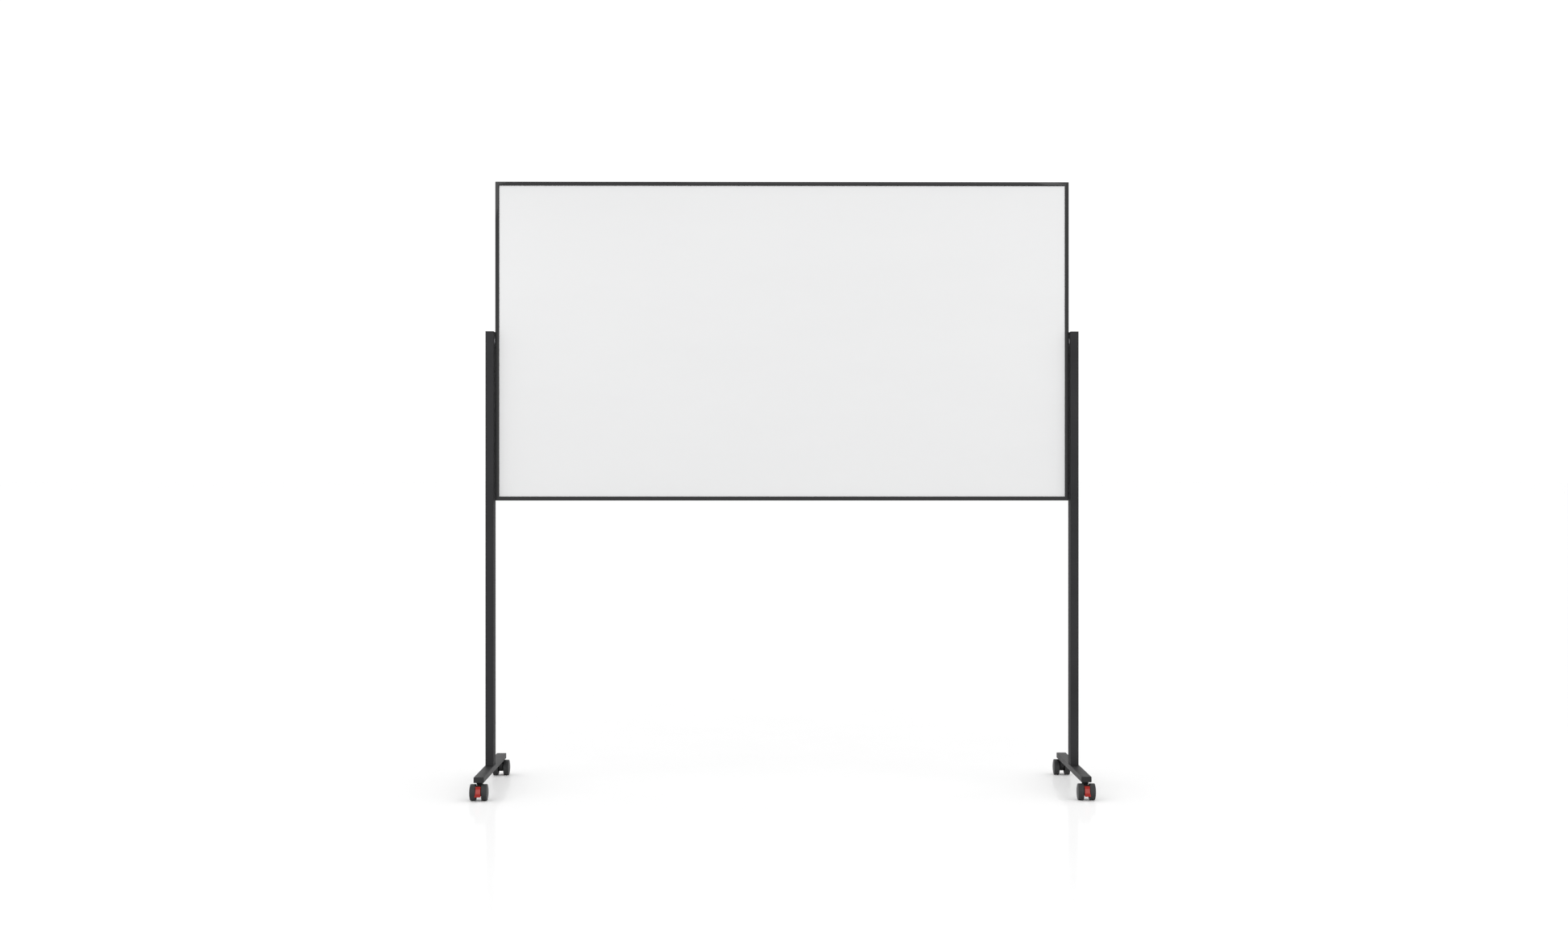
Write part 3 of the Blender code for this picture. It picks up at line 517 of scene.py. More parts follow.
def wheel_nylon(name):
    """Moulded nylon with faint turning rings and a scuffed, dusty tread."""
    colour = (0.020, 0.0205, 0.022)
    worn_colour = (0.044, 0.043, 0.041)
    item, tree, shader, place = surface(name, specular=0.35)
    local = own_coordinates(tree)
    parts = node(tree, "ShaderNodeSeparateXYZ", {"Vector": local}).outputs
    flat = node(tree, "ShaderNodeCombineXYZ", {"X": 0.0, "Y": parts["Y"], "Z": parts["Z"]})
    length = node(tree, "ShaderNodeVectorMath", {}, operation="LENGTH")
    tree.links.new(flat.outputs["Vector"], length.inputs[0])
    radius = length.outputs["Value"]
    outwards = node(tree, "ShaderNodeCombineXYZ", {"X": radius}).outputs["Vector"]
    rings = noise(tree, outwards, 2600.0, 2.0)
    scuffs = noise(tree, stretched(tree, local, (300.0, 900.0, 900.0)), 1.0, 5.0, 0.7)
    on_tread = remapped(tree, radius, 0.0, 1.0, WHEEL_RADIUS * 0.965, WHEEL_RADIUS * 0.995)
    worn = maths(tree, "MULTIPLY", on_tread, remapped(tree, scuffs, 0.0, 1.0, 0.45, 0.7))
    share = blended(tree, rings, scuffs, 0.4)
    base = shades(tree, share, tinted(colour, 0.85), tinted(colour, 1.2))
    mix = node(tree, "ShaderNodeMix", {}, data_type="RGBA")
    tree.links.new(maths(tree, "MULTIPLY", worn, 0.5), mix.inputs["Factor"])
    tree.links.new(base, mix.inputs[6])
    mix.inputs[7].default_value = (*worn_colour, 1.0)
    tree.links.new(mix.outputs[2], shader.inputs["Base Color"])
    roughened(tree, shader, worn, 0.42, 0.70, 0.0, 1.0)
    relief(tree, shader, maths(tree, "ADD", rings, maths(tree, "MULTIPLY", scuffs, worn)), 0.00002)
    return item


def zinc_plate(name):
    """Bright zinc plate: brushed grain with a faint blue-yellow passivation."""
    item, tree, shader, place = surface(name, metallic=1.0)
    cloud = noise(tree, place, 160.0, 3.0, 0.6)
    grain = noise(tree, stretched(tree, place, (2200.0, 2200.0, 220.0)), 1.0, 3.0, 0.6)
    coloured(tree, shader, cloud, (0.58, 0.60, 0.66), (0.72, 0.71, 0.64))
    roughened(tree, shader, grain, 0.24, 0.42)
    relief(tree, shader, grain, 0.00001)
    return item


def white_enamel(name):
    """Vitreous enamel on steel: long soft ripple, dry-wipe haze and hair-fine wipe marks."""
    item, tree, shader, place = surface(name, specular=0.5, coat=0.15, coat_roughness=0.12)
    ripple = noise(tree, place, 90.0, 2.0)
    wipes = noise(tree, stretched(tree, place, (2.2, 1.0, 9.0)), 1.0, 5.0, 0.6)
    hair = noise(tree, stretched(tree, place, (18.0, 1.0, 700.0)), 1.0, 2.0)
    share = blended(tree, wipes, hair, 0.7)
    coloured(tree, shader, share, (0.720, 0.722, 0.725), (0.732, 0.734, 0.736))
    roughened(tree, shader, share, 0.30, 0.40)
    relief(tree, shader, ripple, 0.00002)
    return item


def honeycomb_board(name):
    """Paper honeycomb: pale cell walls round darker cells."""
    item, tree, shader, place = surface(name, specular=0.2)
    settings = {"Vector": place, "Scale": 80.0}
    cells = node(tree, "ShaderNodeTexVoronoi", settings, feature="DISTANCE_TO_EDGE")
    fibre = noise(tree, place, 900.0, 4.0, 0.7)
    wall = remapped(tree, cells.outputs["Distance"], 1.0, 0.0, 0.02, 0.10)
    share = maths(tree, "MULTIPLY", wall, remapped(tree, fibre, 0.7, 1.0))
    coloured(tree, shader, share, (0.20, 0.135, 0.075), (0.52, 0.39, 0.25))
    roughened(tree, shader, fibre, 0.8, 0.95)
    relief(tree, shader, share, 0.0008)
    return item


def red_plastic(name):
    """Red moulding, paler, pinker and more specular across the middle of the pad as a painted
    highlight, which leaves its top and its lip darker as painted shade.
    """
    item, tree, shader, place = surface(name)
    height = node(tree, "ShaderNodeSeparateXYZ", {"Vector": own_coordinates(tree)}).outputs["Z"]
    # Painted highlight: a band across the middle of the pad, paler than the top and the lip, which are
    # left darker as painted shade
    below_top = remapped(tree, height, 1.0, 0.0, PAINTED_HIGHLIGHT_TOP - PAINTED_HIGHLIGHT_FADE, PAINTED_HIGHLIGHT_TOP)
    above_lip = remapped(tree, height, 0.0, 1.0, PAINTED_HIGHLIGHT_BOTTOM, PAINTED_HIGHLIGHT_BOTTOM + PAINTED_HIGHLIGHT_FADE)
    dust = noise(tree, place, 700.0, 4.0, 0.65)
    highlight_band = maths(tree, "MULTIPLY", below_top, above_lip)
    painted_highlight = maths(tree, "MULTIPLY", highlight_band, remapped(tree, dust, 0.7, 1.0))
    sheen = remapped(tree, painted_highlight, 0.22, 0.55, 0.0, 1.0)
    coloured(tree, shader, painted_highlight, (0.285, 0.0115, 0.007), (0.355, 0.040, 0.031))
    tree.links.new(sheen, shader.inputs["Specular IOR Level"])
    roughened(tree, shader, painted_highlight, 0.36, 0.48, 0.0, 1.0)
    relief(tree, shader, dust, 0.00002)
    return item


# ---------------------------------------------------------------- pieces

def mesh_from(name, bm, finish, matrix):
    """Smooth-shaded mesh in the frame's axes, which keeps its shape's own coordinates."""
    mesh = bpy.data.meshes.new(name)
    bm.to_mesh(mesh)
    local = mesh.attributes.new("local", "FLOAT_VECTOR", "POINT")
    local.data.foreach_set("vector", [value for vert in mesh.vertices for value in vert.co])
    mesh.transform(matrix)
    mesh.shade_smooth()
    mesh.set_sharp_from_angle(angle=SMOOTH_ANGLE)
    mesh.materials.append(finish)
    return mesh


def place_piece(cad_node, bm, finish, matrix):
    """Add a piece that stands for a CAD node, and rides on that node's body."""
    name = f"{cad_node}_surface"
    item = bpy.data.objects.new(name, mesh_from(name, bm, finish, matrix))
    bpy.context.scene.collection.objects.link(item)
    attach(item, body_of(cad_node))
    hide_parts(cad_node)
    return item


def body_of(cad_node):
    """The body that a CAD node rides on."""
    for body, members in frame["record"]["behaviour"]["bodies"].items():
        if cad_node in members:
            return body
    raise ValueError(cad_node)


def centre_of(cad_node):
    low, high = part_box(cad_node)
    return (low + high) / 2


def size_of(cad_node):
    low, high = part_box(cad_node)
    return high - low


# ---------------------------------------------------------------- stand

def post_shape(side_name):
    """Rounded rectangular tube with the bush hole and the plug hole in its inner wall."""
    low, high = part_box(f"{side_name}_post")
    size = high - low
    outline = rounded_rectangle(size.x, size.y, POST_CORNER)
    bore = rounded_rectangle(size.x - 2 * TUBE_WALL, size.y - 2 * TUBE_WALL, BORE_CORNER)
    tube = prism([outline, bore], low.z, high.z)
    inner_wall = -SIDES[side_name] * (size.x - TUBE_WALL) / 2
    for radius, pin in ((BUSH_HOLE_RADIUS, "pivot_bush"), (PLUG_HOLE_RADIUS, "post_plug")):
        place = centre_of(f"{side_name}_{pin}")
        drill = transformed(cylinder(radius, -TUBE_WALL, TUBE_WALL), SIDEWAYS)
        tube = cut(tube, moved(drill, inner_wall, place.y, place.z))
    return tube


def post_cap_shape(cad_node):
    """Lid with soft edges and a hollow skirt, drawn as one loft from its pocket upwards."""
    low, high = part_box(cad_node)
    width, depth, height = high - low
    skirt = [width - 2 * (TUBE_WALL + GAP), depth - 2 * (TUBE_WALL + GAP)]
    pocket = [side - 2 * POST_CAP_WALL for side in skirt]
    plate_bottom = high.z - POST_CAP_PLATE
    loops = [
        (rounded_rectangle(*pocket, BORE_CORNER), plate_bottom + POST_CAP_POCKET_ROOF),
        (rounded_rectangle(*pocket, BORE_CORNER), low.z),
        (rounded_rectangle(skirt[0] - INSERT_LEAD, skirt[1] - INSERT_LEAD, BORE_CORNER), low.z),
        (rounded_rectangle(*skirt, BORE_CORNER), low.z + INSERT_LEAD),
        (rounded_rectangle(*skirt, BORE_CORNER), plate_bottom),
        (rounded_rectangle(width, depth, POST_CORNER), plate_bottom),
    ]
    return lofted(loops + edge_loops(width, depth, POST_CORNER, high.z))


def edge_loops(width, height, corner, top):
    """Loops that round a plate's rim over from its side onto its top face."""
    loops = []
    for step in range(CORNER_STEPS + 1):
        angle = math.radians(90 * step / CORNER_STEPS)
        inset = CAP_EDGE * (1 - math.cos(angle))
        level = top - CAP_EDGE * (1 - math.sin(angle))
        radius = max(corner - inset, BORE_CORNER)
        loops.append((rounded_rectangle(width - 2 * inset, height - 2 * inset, radius), level))
    return loops


def plug_shape():
    """Domed push-in plug; its shank points along +X and its head lies below zero."""
    head = PLUG_HEAD_RADIUS
    shank = PLUG_SHANK_RADIUS
    profile = filleted([
        (0.0, -PLUG_HEAD_HEIGHT, 0), (shank, 0.0001 - PLUG_HEAD_HEIGHT, 0.003),
        (head, -PLUG_HEAD_HEIGHT / 2, 0.0004), (head, -GAP, 0), (shank, -GAP, 0),
        (shank, PLUG_GROOVE_AT - 0.0006, 0.0004), (PLUG_GROOVE_RADIUS, PLUG_GROOVE_AT, 0.0003),
        (shank, PLUG_GROOVE_AT + 0.0008, 0.0004), (PLUG_TIP_RADIUS, PLUG_SHANK_LENGTH, 0.0003),
        (0.0, PLUG_SHANK_LENGTH, 0),
    ], 3)
    return transformed(turned(profile), SIDEWAYS)


def foot_bar_shape(side_name):
    """Flat tube, drilled for its two stems and its two bolts."""
    low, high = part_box(f"{side_name}_foot_bar")
    size = high - low
    outline = rounded_rectangle(size.x, size.z, BAR_CORNER)
    bore = rounded_rectangle(size.x - 2 * TUBE_WALL, size.z - 2 * TUBE_WALL, BORE_CORNER)
    bar = transformed(prism([outline, bore], low.y, high.y), LENGTHWAYS)
    middle = (low.z + high.z) / 2
    moved(bar, z=middle)
    below = low.z - TUBE_WALL
    above = high.z + TUBE_WALL
    for end_name in ENDS:
        stem = (0.0, centre_of(f"{side_name}_{end_name}_caster_stem").y)
        bolt = (0.0, centre_of(f"{side_name}_{end_name}_foot_bolt").y)
        bar = cut(
            bar,
            cylinder(STEM_HOLE_RADIUS, below, middle, stem),
            cylinder(BOLT_ACCESS_RADIUS, below, middle, bolt),
            cylinder(BOLT_HOLE_RADIUS, middle, above, bolt),
        )
    return bar


def foot_cap_shape():
    """End cap for the +Y end of a bar: soft-edged plate, chamfered insert and stem socket."""
    low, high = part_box("left_rear_foot_cap")
    width = high.x - low.x
    height = high.z - low.z
    seat = high.y - FOOT_CAP_PLATE
    inner = (width - 2 * (TUBE_WALL + GAP), height - 2 * (TUBE_WALL + GAP))
    loops = [
        (rounded_rectangle(inner[0] - INSERT_LEAD, inner[1] - INSERT_LEAD, BORE_CORNER), low.y),
        (rounded_rectangle(*inner, BORE_CORNER), low.y + INSERT_LEAD),
        (rounded_rectangle(*inner, BORE_CORNER), seat),
        (rounded_rectangle(width, height, BAR_CORNER), seat),
    ]
    cap = transformed(lofted(loops + edge_loops(width, height, BAR_CORNER, high.y)), LENGTHWAYS)
    moved(cap, z=(low.z + high.z) / 2)
    stem = (0.0, centre_of("left_rear_caster_stem").y)
    return cut(cap, cylinder(STEM_HOLE_RADIUS, low.z - GAP, high.z + GAP, stem))


def build_stand(finishes):
    cap = foot_cap_shape()
    plug = plug_shape()
    for side_name, side in SIDES.items():
        column = Matrix.Translation((side * abs(centre_of("left_post").x), 0, 0))
        post = post_shape(side_name)
        place_piece(f"{side_name}_post", post, finishes["post"], column)
        lid = post_cap_shape(f"{side_name}_post_cap")
        place_piece(f"{side_name}_post_cap", lid, finishes["plastic"], column)
        bar = foot_bar_shape(side_name)
        place_piece(f"{side_name}_foot_bar", bar, finishes["bar"], column)
        plug_node = f"{side_name}_post_plug"
        low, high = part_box(f"{side_name}_post")
        inner_face = low.x if side > 0 else high.x
        spot = Matrix.Translation((inner_face, centre_of(plug_node).y, centre_of(plug_node).z))
        facing = Matrix.Rotation(0.0 if side > 0 else HALF_TURN, 4, "Z")
        place_piece(plug_node, plug, finishes["plastic"], spot @ facing)
        for end_name, end in ENDS.items():
            turn = Matrix.Rotation(0.0 if end > 0 else HALF_TURN, 4, "Z")
            cad_node = f"{side_name}_{end_name}_foot_cap"
            place_piece(cad_node, cap, finishes["cap"], column @ turn)


# ---------------------------------------------------------------- casters
# Drawn with the stem on the Z axis, the floor at zero height and the fork trailing to +Y.

def caster_trail():
    return abs(centre_of("left_rear_caster_axle").y - centre_of("left_rear_caster_stem").y)


def stem_shape():
    """Shank with a grip groove, zinc collar with soft edges, and the swivel journal."""
    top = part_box("left_rear_caster_stem")[1].z
    groove = (COLLAR_TOP + top) / 2
    floor = STEM_RADIUS - STEM_GROOVE_DEPTH
    profile = filleted([
        (0.0, JOURNAL_BOTTOM, 0), (JOURNAL_RADIUS, JOURNAL_BOTTOM, 0.0006),
        (JOURNAL_RADIUS, COLLAR_BOTTOM, 0), (COLLAR_RADIUS, COLLAR_BOTTOM, 0.0003),
        (COLLAR_RADIUS, COLLAR_TOP, 0.0003), (STEM_RADIUS, COLLAR_TOP, 0),
        (STEM_RADIUS, groove - STEM_GROOVE_HALF_MOUTH, 0), (floor, groove - STEM_GROOVE_HALF_FLOOR, 0),
        (floor, groove + STEM_GROOVE_HALF_FLOOR, 0), (STEM_RADIUS, groove + STEM_GROOVE_HALF_MOUTH, 0),
        (STEM_RADIUS, top, 0.0009), (0.0, top, 0),
    ], 4)
    return turned(profile)


def fork_outline():
    """Side view of the fork's slab: axle boss, brake cheek, top, and the back edge."""
    trail = caster_trail()
    boss = (trail, WHEEL_RADIUS)
    cheek = (trail + LEVER_PIVOT_FROM_AXLE, LEVER_PIVOT_HEIGHT)
    points = arc(boss, FORK_BOSS_RADIUS, 225, 345, 16)
    points += arc(cheek, CHEEK_RADIUS, -15, 90, 12)
    points.append((HOOD_RADIUS + CHEEK_RADIUS, SLAB_TOP))
    back = (-FORK_BACK + CHEEK_RADIUS, SLAB_TOP - CHEEK_RADIUS)
    points += arc(back, CHEEK_RADIUS, 90, 180, 10)
    points.append((-FORK_BACK, LEVER_PIVOT_HEIGHT - CHEEK_RADIUS))
    return points


def hood_shape():
    """Round hood over the slab, tapered below and drawn in to the neck under the collar."""
    profile = filleted([
        (0.0, SKIRT_BOTTOM, 0), (SKIRT_RADIUS, SKIRT_BOTTOM, 0.0005),
        (HOOD_RADIUS, HOOD_BOTTOM, 0.0006), (HOOD_RADIUS, HOOD_TOP, 0.0008),
        (NECK_RADIUS, NECK_BOTTOM, 0.0005), (NECK_RADIUS, NECK_TOP, 0.0003), (0.0, NECK_TOP, 0),
    ], 4)
    return turned(profile, HOOD_SEGMENTS)


def sideways_pin(radius, half_length):
    """Cylinder along X through the origin."""
    return transformed(cylinder(radius, -half_length, half_length), SIDEWAYS)


def fork_pocket(face):
    """Shallow pocket in one side of the slab, -1 or +1, to be cut away."""
    # Distance behind the stem, and height
    corners = [
        (-0.0045, 0.0445), (0.0085, 0.0445), (0.0125, 0.0372), (0.0095, 0.0322), (-0.0045, 0.0400),
    ]
    outline = filleted([(y, z, POCKET_CORNER) for y, z in corners])
    floor = face * (FORK_HALF_WIDTH - POCKET_DEPTH)
    mouth = face * (FORK_HALF_WIDTH + GAP)
    return transformed(prism([outline], min(floor, mouth), max(floor, mouth)), SIDEWAYS)


def fork_shape():
    """Slab between the wheels under a round hood, with bosses, pockets and the brake slot."""
    width = FORK_HALF_WIDTH
    through = 2 * width
    trail = caster_trail()
    pivot_y = trail + LEVER_PIVOT_FROM_AXLE
    slab = transformed(prism([fork_outline()], -width, width), SIDEWAYS)
    rim = width - MERGE_DISTANCE
    softened(slab, FORK_EDGE, lambda co: abs(co.x) > rim)
    hub = sideways_pin(FORK_HUB_RADIUS, width + FORK_HUB_RISE)
    fork = fused(slab, hood_shape(), moved(hub, y=trail, z=WHEEL_RADIUS))
    fork = cut(fork, fork_pocket(-1), fork_pocket(1))
    half_slot = TONGUE_HALF_WIDTH + GAP
    back = pivot_y - LEVER_SLOT_BACK
    front = pivot_y + LEVER_SLOT_FRONT
    slot_outline = [(-half_slot, back), (half_slot, back), (half_slot, front), (-half_slot, front)]
    slot_floor = LEVER_PIVOT_HEIGHT - LEVER_SLOT_DEPTH
    half_mouth = TRUNNION_MOUTH / 2
    reach = LEVER_SLOT_FRONT
    mouth_outline = [(0, -half_mouth), (reach, -half_mouth), (reach, half_mouth), (0, half_mouth)]
    mouth = transformed(prism([mouth_outline], -through, through), SIDEWAYS)
    return cut(
        fork,
        cylinder(JOURNAL_RADIUS + GAP, JOURNAL_BOTTOM - GAP, COLLAR_TOP),
        moved(sideways_pin(AXLE_RADIUS + GAP, through), y=trail, z=WHEEL_RADIUS),
        prism([slot_outline], slot_floor, SLAB_TOP + CHEEK_RADIUS),
        moved(sideways_pin(TRUNNION_RADIUS + GAP, through), y=pivot_y, z=LEVER_PIVOT_HEIGHT),
        moved(mouth, y=pivot_y, z=LEVER_PIVOT_HEIGHT),
    )


def axle_shape():
    half = size_of("left_rear_caster_axle").x / 2
    profile = filleted([
        (0.0, -half, 0), (AXLE_RADIUS, -half, 0.0007), (AXLE_RADIUS, half, 0.0007), (0.0, half, 0),
    ], 4)
    return transformed(turned(profile), SIDEWAYS)


def dome_height(radius):
    """Height of the wheel's outer face over a radius: highest at the axle."""
    return WHEEL_CROWN - (WHEEL_CROWN - DOME_EDGE) * (radius / DOME_RADIUS) ** 2


def wheel_profile():
    """Section of one wheel, from its blind bore round the cup, tread and dome to its crown."""
    profile = filleted([
        (0.0, WHEEL_BORE_END, 0), (WHEEL_BORE_RADIUS, WHEEL_BORE_END, 0),
        (WHEEL_BORE_RADIUS, WHEEL_HUB_FACE, 0.0003), (WHEEL_HUB_RADIUS, WHEEL_HUB_FACE, 0.0006),
        (WHEEL_HUB_RADIUS, WHEEL_WEB_FACE, 0.0015),
        (WHEEL_RIM_INNER_RADIUS, WHEEL_WEB_FACE, 0.0015),
        (WHEEL_RIM_INNER_RADIUS, WHEEL_INNER_FACE, 0.0005), (WHEEL_RADIUS, WHEEL_INNER_FACE, 0.0013),
        (WHEEL_RADIUS, WHEEL_SHOULDER, 0.0024), (DOME_RADIUS, DOME_EDGE, 0),
    ])
    for radius in (DOME_RING_RADIUS, GROOVE_OUTER_RADIUS):
        profile.append((radius, dome_height(radius)))
    for radius, slope in ((GROOVE_OUTER_RADIUS, -GROOVE_SLOPE), (GROOVE_INNER_RADIUS, GROOVE_SLOPE)):
        profile.append((radius + slope, dome_height(radius) - GROOVE_DEPTH))
    for step in range(DOME_STEPS + 1):
        radius = GROOVE_INNER_RADIUS * (1 - step / DOME_STEPS)
        profile.append((radius, dome_height(radius)))
    return profile


def wheel_shape():
    """Domed wheel, open towards the fork, with ribs between its hub and its rim."""
    wheel = turned(wheel_profile(), WHEEL_SEGMENTS)
    start, end, half = RIB_INNER_RADIUS, RIB_OUTER_RADIUS, RIB_HALF_THICKNESS
    rib_outline = [(start, -half), (end, -half), (end, half), (start, half)]
    for index in range(RIBS):
        turn = Matrix.Rotation(math.radians(360 * (index + 0.5) / RIBS), 4, "Z")
        wheel = fused(wheel, transformed(prism([rib_outline], RIB_FACE, RIB_ROOT), turn))
    return transformed(wheel, SIDEWAYS)


def pad_half_width(down):
    """Half the lever pad's width at a share of the way down: round top, waist, lip."""
    if down < PAD_WAIST_AT:
        flare = (PAD_TOP_HALF_WIDTH - PAD_WAIST_HALF_WIDTH) * (1 - down / PAD_WAIST_AT) ** 2
    else:
        share = (down - PAD_WAIST_AT) / (1 - PAD_WAIST_AT)
        flare = (PAD_LIP_HALF_WIDTH - PAD_WAIST_HALF_WIDTH) * share ** 2
    half = PAD_WAIST_HALF_WIDTH + flare
    for distance in (down * PAD_HEIGHT, (1 - down) * PAD_HEIGHT):
        if distance < PAD_CORNER:
            half -= PAD_CORNER - math.sqrt(PAD_CORNER ** 2 - (PAD_CORNER - distance) ** 2)
    return half


def pad_section(down):
    """One level section of the pad, as (x, y) points round a soft-cornered slot shape."""
    front = PAD_FRONT + LIP_REACH * down ** LIP_CURVE
    half_width = pad_half_width(down)
    half_thickness = PAD_THICKNESS / 2
    end_distance = min(down, 1 - down) * PAD_HEIGHT
    if end_distance < PAD_EDGE:
        half_thickness -= PAD_EDGE - math.sqrt(PAD_EDGE ** 2 - (PAD_EDGE - end_distance) ** 2)
    groove = grip_groove(down)
    hollow = PAD_HOLLOW * math.sin(math.pi * min(1.0, down / PAD_HOLLOW_END))
    middle = front - PAD_THICKNESS / 2
    points = []
    for index in range(PAD_POINTS):
        angle = 2 * math.pi * index / PAD_POINTS
        across = squared_off(math.cos(angle), PAD_SIDE_SQUARENESS)
        deep = squared_off(math.sin(angle), PAD_FACE_SQUARENESS)
        x = half_width * across
        y = middle + half_thickness * deep
        if deep > 0:
            y -= groove * max(0.0, 1 - (abs(x) / (half_width * GRIP_WIDTH_SHARE)) ** 6)
            y -= hollow * (1 - across ** 2)
        points.append((x, y))
    return points


def squared_off(value, power):
    """Value from -1 to 1 pushed outwards, which turns a circle into a soft-cornered box."""
    return math.copysign(abs(value) ** power, value)


def grip_groove(down):
    """Depth of the grip grooves across the lip at a share of the way down."""
    if not GRIP_START < down < GRIP_END:
        return 0.0
    phase = (down - GRIP_START) / (GRIP_END - GRIP_START) * GRIP_GROOVES
    return GRIP_DEPTH * math.sin(math.pi * (phase % 1.0)) ** 2


def lever_shape():
    """Pad, tongue, trunnions and two brake cams in one moulding, about its pivot."""
    levels = []
    for level in range(PAD_LEVELS + 1):
        down = PAD_END_SHARE + (1 - 2 * PAD_END_SHARE) * level / PAD_LEVELS
        levels.append((pad_section(down), PAD_TOP - PAD_HEIGHT * down))
    pad = lofted(levels)
    tongue_end = PAD_FRONT - PAD_THICKNESS / 2
    outline = arc((0.0, 0.0), TONGUE_RADIUS, 90, 270, 20)
    outline += [(tongue_end, -TONGUE_RADIUS), (tongue_end, TONGUE_RADIUS)]
    half = TONGUE_HALF_WIDTH
    tongue = transformed(prism([outline], -half, half), SIDEWAYS)
    rim = half - MERGE_DISTANCE
    softened(tongue, TONGUE_EDGE, lambda co: abs(co.x) > rim and co.y < tongue_end - GAP)
    lever = fused(pad, tongue, sideways_pin(TRUNNION_RADIUS, CAM_OUTER - GAP))
    from_axle = Vector((LEVER_PIVOT_FROM_AXLE, LEVER_PIVOT_HEIGHT - WHEEL_RADIUS))
    away = from_axle.normalized() * CAM_OFFSET
    for inner, outer in ((CAM_INNER, CAM_OUTER), (-CAM_OUTER, -CAM_INNER)):
        cam = transformed(cylinder(CAM_RADIUS, inner, outer, tuple(away)), SIDEWAYS)
        lever = fused(lever, cam)
    return lever


def build_casters(finishes):
    shapes = {
        "caster_stem": (stem_shape(), "zinc", "zinc_steel"),
        "caster_fork": (fork_shape(), "fork", "black_plastic"),
        "caster_axle": (axle_shape(), "zinc", "zinc_steel"),
        "brake_lever": (lever_shape(), "red", "red_plastic"),
    }
    wheel = wheel_shape()
    trail = caster_trail()
    hub = Matrix.Translation((0, trail, WHEEL_RADIUS))
    pivot = Matrix.Translation((0, trail + LEVER_PIVOT_FROM_AXLE, LEVER_PIVOT_HEIGHT))
    places = {"caster_axle": hub, "brake_lever": pivot}
    for side_name, side in SIDES.items():
        for end_name, end in ENDS.items():
            label = f"{side_name}_{end_name}"
            stem_place = centre_of(f"{label}_caster_stem")
            turn = Matrix.Rotation(0.0 if end > 0 else HALF_TURN, 4, "Z")
            swivel = Matrix.Translation((stem_place.x, stem_place.y, 0)) @ turn
            for name, (shape, finish, slot) in shapes.items():
                matrix = swivel @ places.get(name, Matrix())
                place_piece(f"{label}_{name}", shape, finishes[finish], matrix)
            # The wheel shape lies on its caster's +X side; the other one is turned round.
            for wheel_name, wheel_side in (("outer", side), ("inner", -side)):
                facing = Matrix.Rotation(0.0 if wheel_side * end > 0 else HALF_TURN, 4, "Z")
                matrix = swivel @ hub @ facing
                cad_node = f"{label}_{wheel_name}_wheel"
                place_piece(cad_node, wheel, finishes["wheel"], matrix)


# ---------------------------------------------------------------- board

def rail_loops():
    """Section as (distance in from the outer edge, depth) loops: outline and chamber."""
    half = size_of("frame_top_rail").y / 2
    lip = half - RAIL_WALL
    web = RAIL_WALL + CHAMBER_DEPTH + RAIL_WALL - GAP
    outline = filleted([
        (0.0, -half, RAIL_EDGE), (RAIL_FACE, -half, LIP_EDGE), (RAIL_FACE, -lip, LIP_EDGE),
        (web, -lip, 0), (web, lip, 0), (RAIL_FACE, lip, LIP_EDGE), (RAIL_FACE, half, LIP_EDGE),
        (0.0, half, RAIL_EDGE),
    ], 4)
    inner = RAIL_WALL + CHAMBER_DEPTH
    chamber = [(RAIL_WALL, -lip), (inner, -lip), (inner, lip), (RAIL_WALL, lip)]
    return [outline, chamber]


def rail_shape(length, offset):
    """Top rail of a frame: length along X, outer edge at the given height, mitred ends.

    The section is raised from -1 to 1, and each end is then set on its mitre.
    """
    rail = prism(rail_loops(), -1.0, 1.0)
    mitre_gap = GAP / math.sqrt(2)
    for vert in rail.verts:
        inwards, depth, end = vert.co
        vert.co = (end * (length / 2 - inwards - mitre_gap), depth, offset - inwards)
    bmesh.ops.recalc_face_normals(rail, faces=rail.faces[:])
    return rail


def sheet_shape(cad_node):
    """Writing sheet with slightly eased corners and edges."""
    low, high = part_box(cad_node)
    size = high - low
    sheet = prism([rounded_rectangle(size.x, size.z, SHEET_CORNER)], low.y, high.y)
    softened(sheet, SHEET_EDGE, lambda co: True, 2)
    return transformed(sheet, LENGTHWAYS)


def build_board(finishes):
    pivot_height = centre_of("left_pivot_bolt").z
    centre = Matrix.Translation((0, 0, pivot_height))
    low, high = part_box("frame_top_rail")
    board_width = high.x - low.x
    board_height = 2 * (high.z - pivot_height)
    level = rail_shape(board_width, board_height / 2)
    quarter = Matrix.Rotation(math.pi / 2, 4, "Y")
    upright = transformed(rail_shape(board_height, board_width / 2), quarter)
    drill = sideways_pin(PIVOT_BOLT_RADIUS + GAP, RAIL_WALL)
    upright = cut(upright, moved(drill, board_width / 2 - RAIL_WALL / 2))
    over = Matrix.Rotation(HALF_TURN, 4, "Y")
    around = Matrix.Rotation(HALF_TURN, 4, "Z")
    place_piece("frame_top_rail", level, finishes["level_rail"], centre)
    place_piece("frame_bottom_rail", level, finishes["level_rail"], centre @ over)
    place_piece("frame_right_rail", upright, finishes["upright_rail"], centre)
    place_piece("frame_left_rail", upright, finishes["upright_rail"], centre @ around)
    for face in ("front", "back"):
        sheet = sheet_shape(f"{face}_writing_sheet")
        place_piece(f"{face}_writing_sheet", sheet, finishes["enamel"], centre)


# ---------------------------------------------------------------- pivots

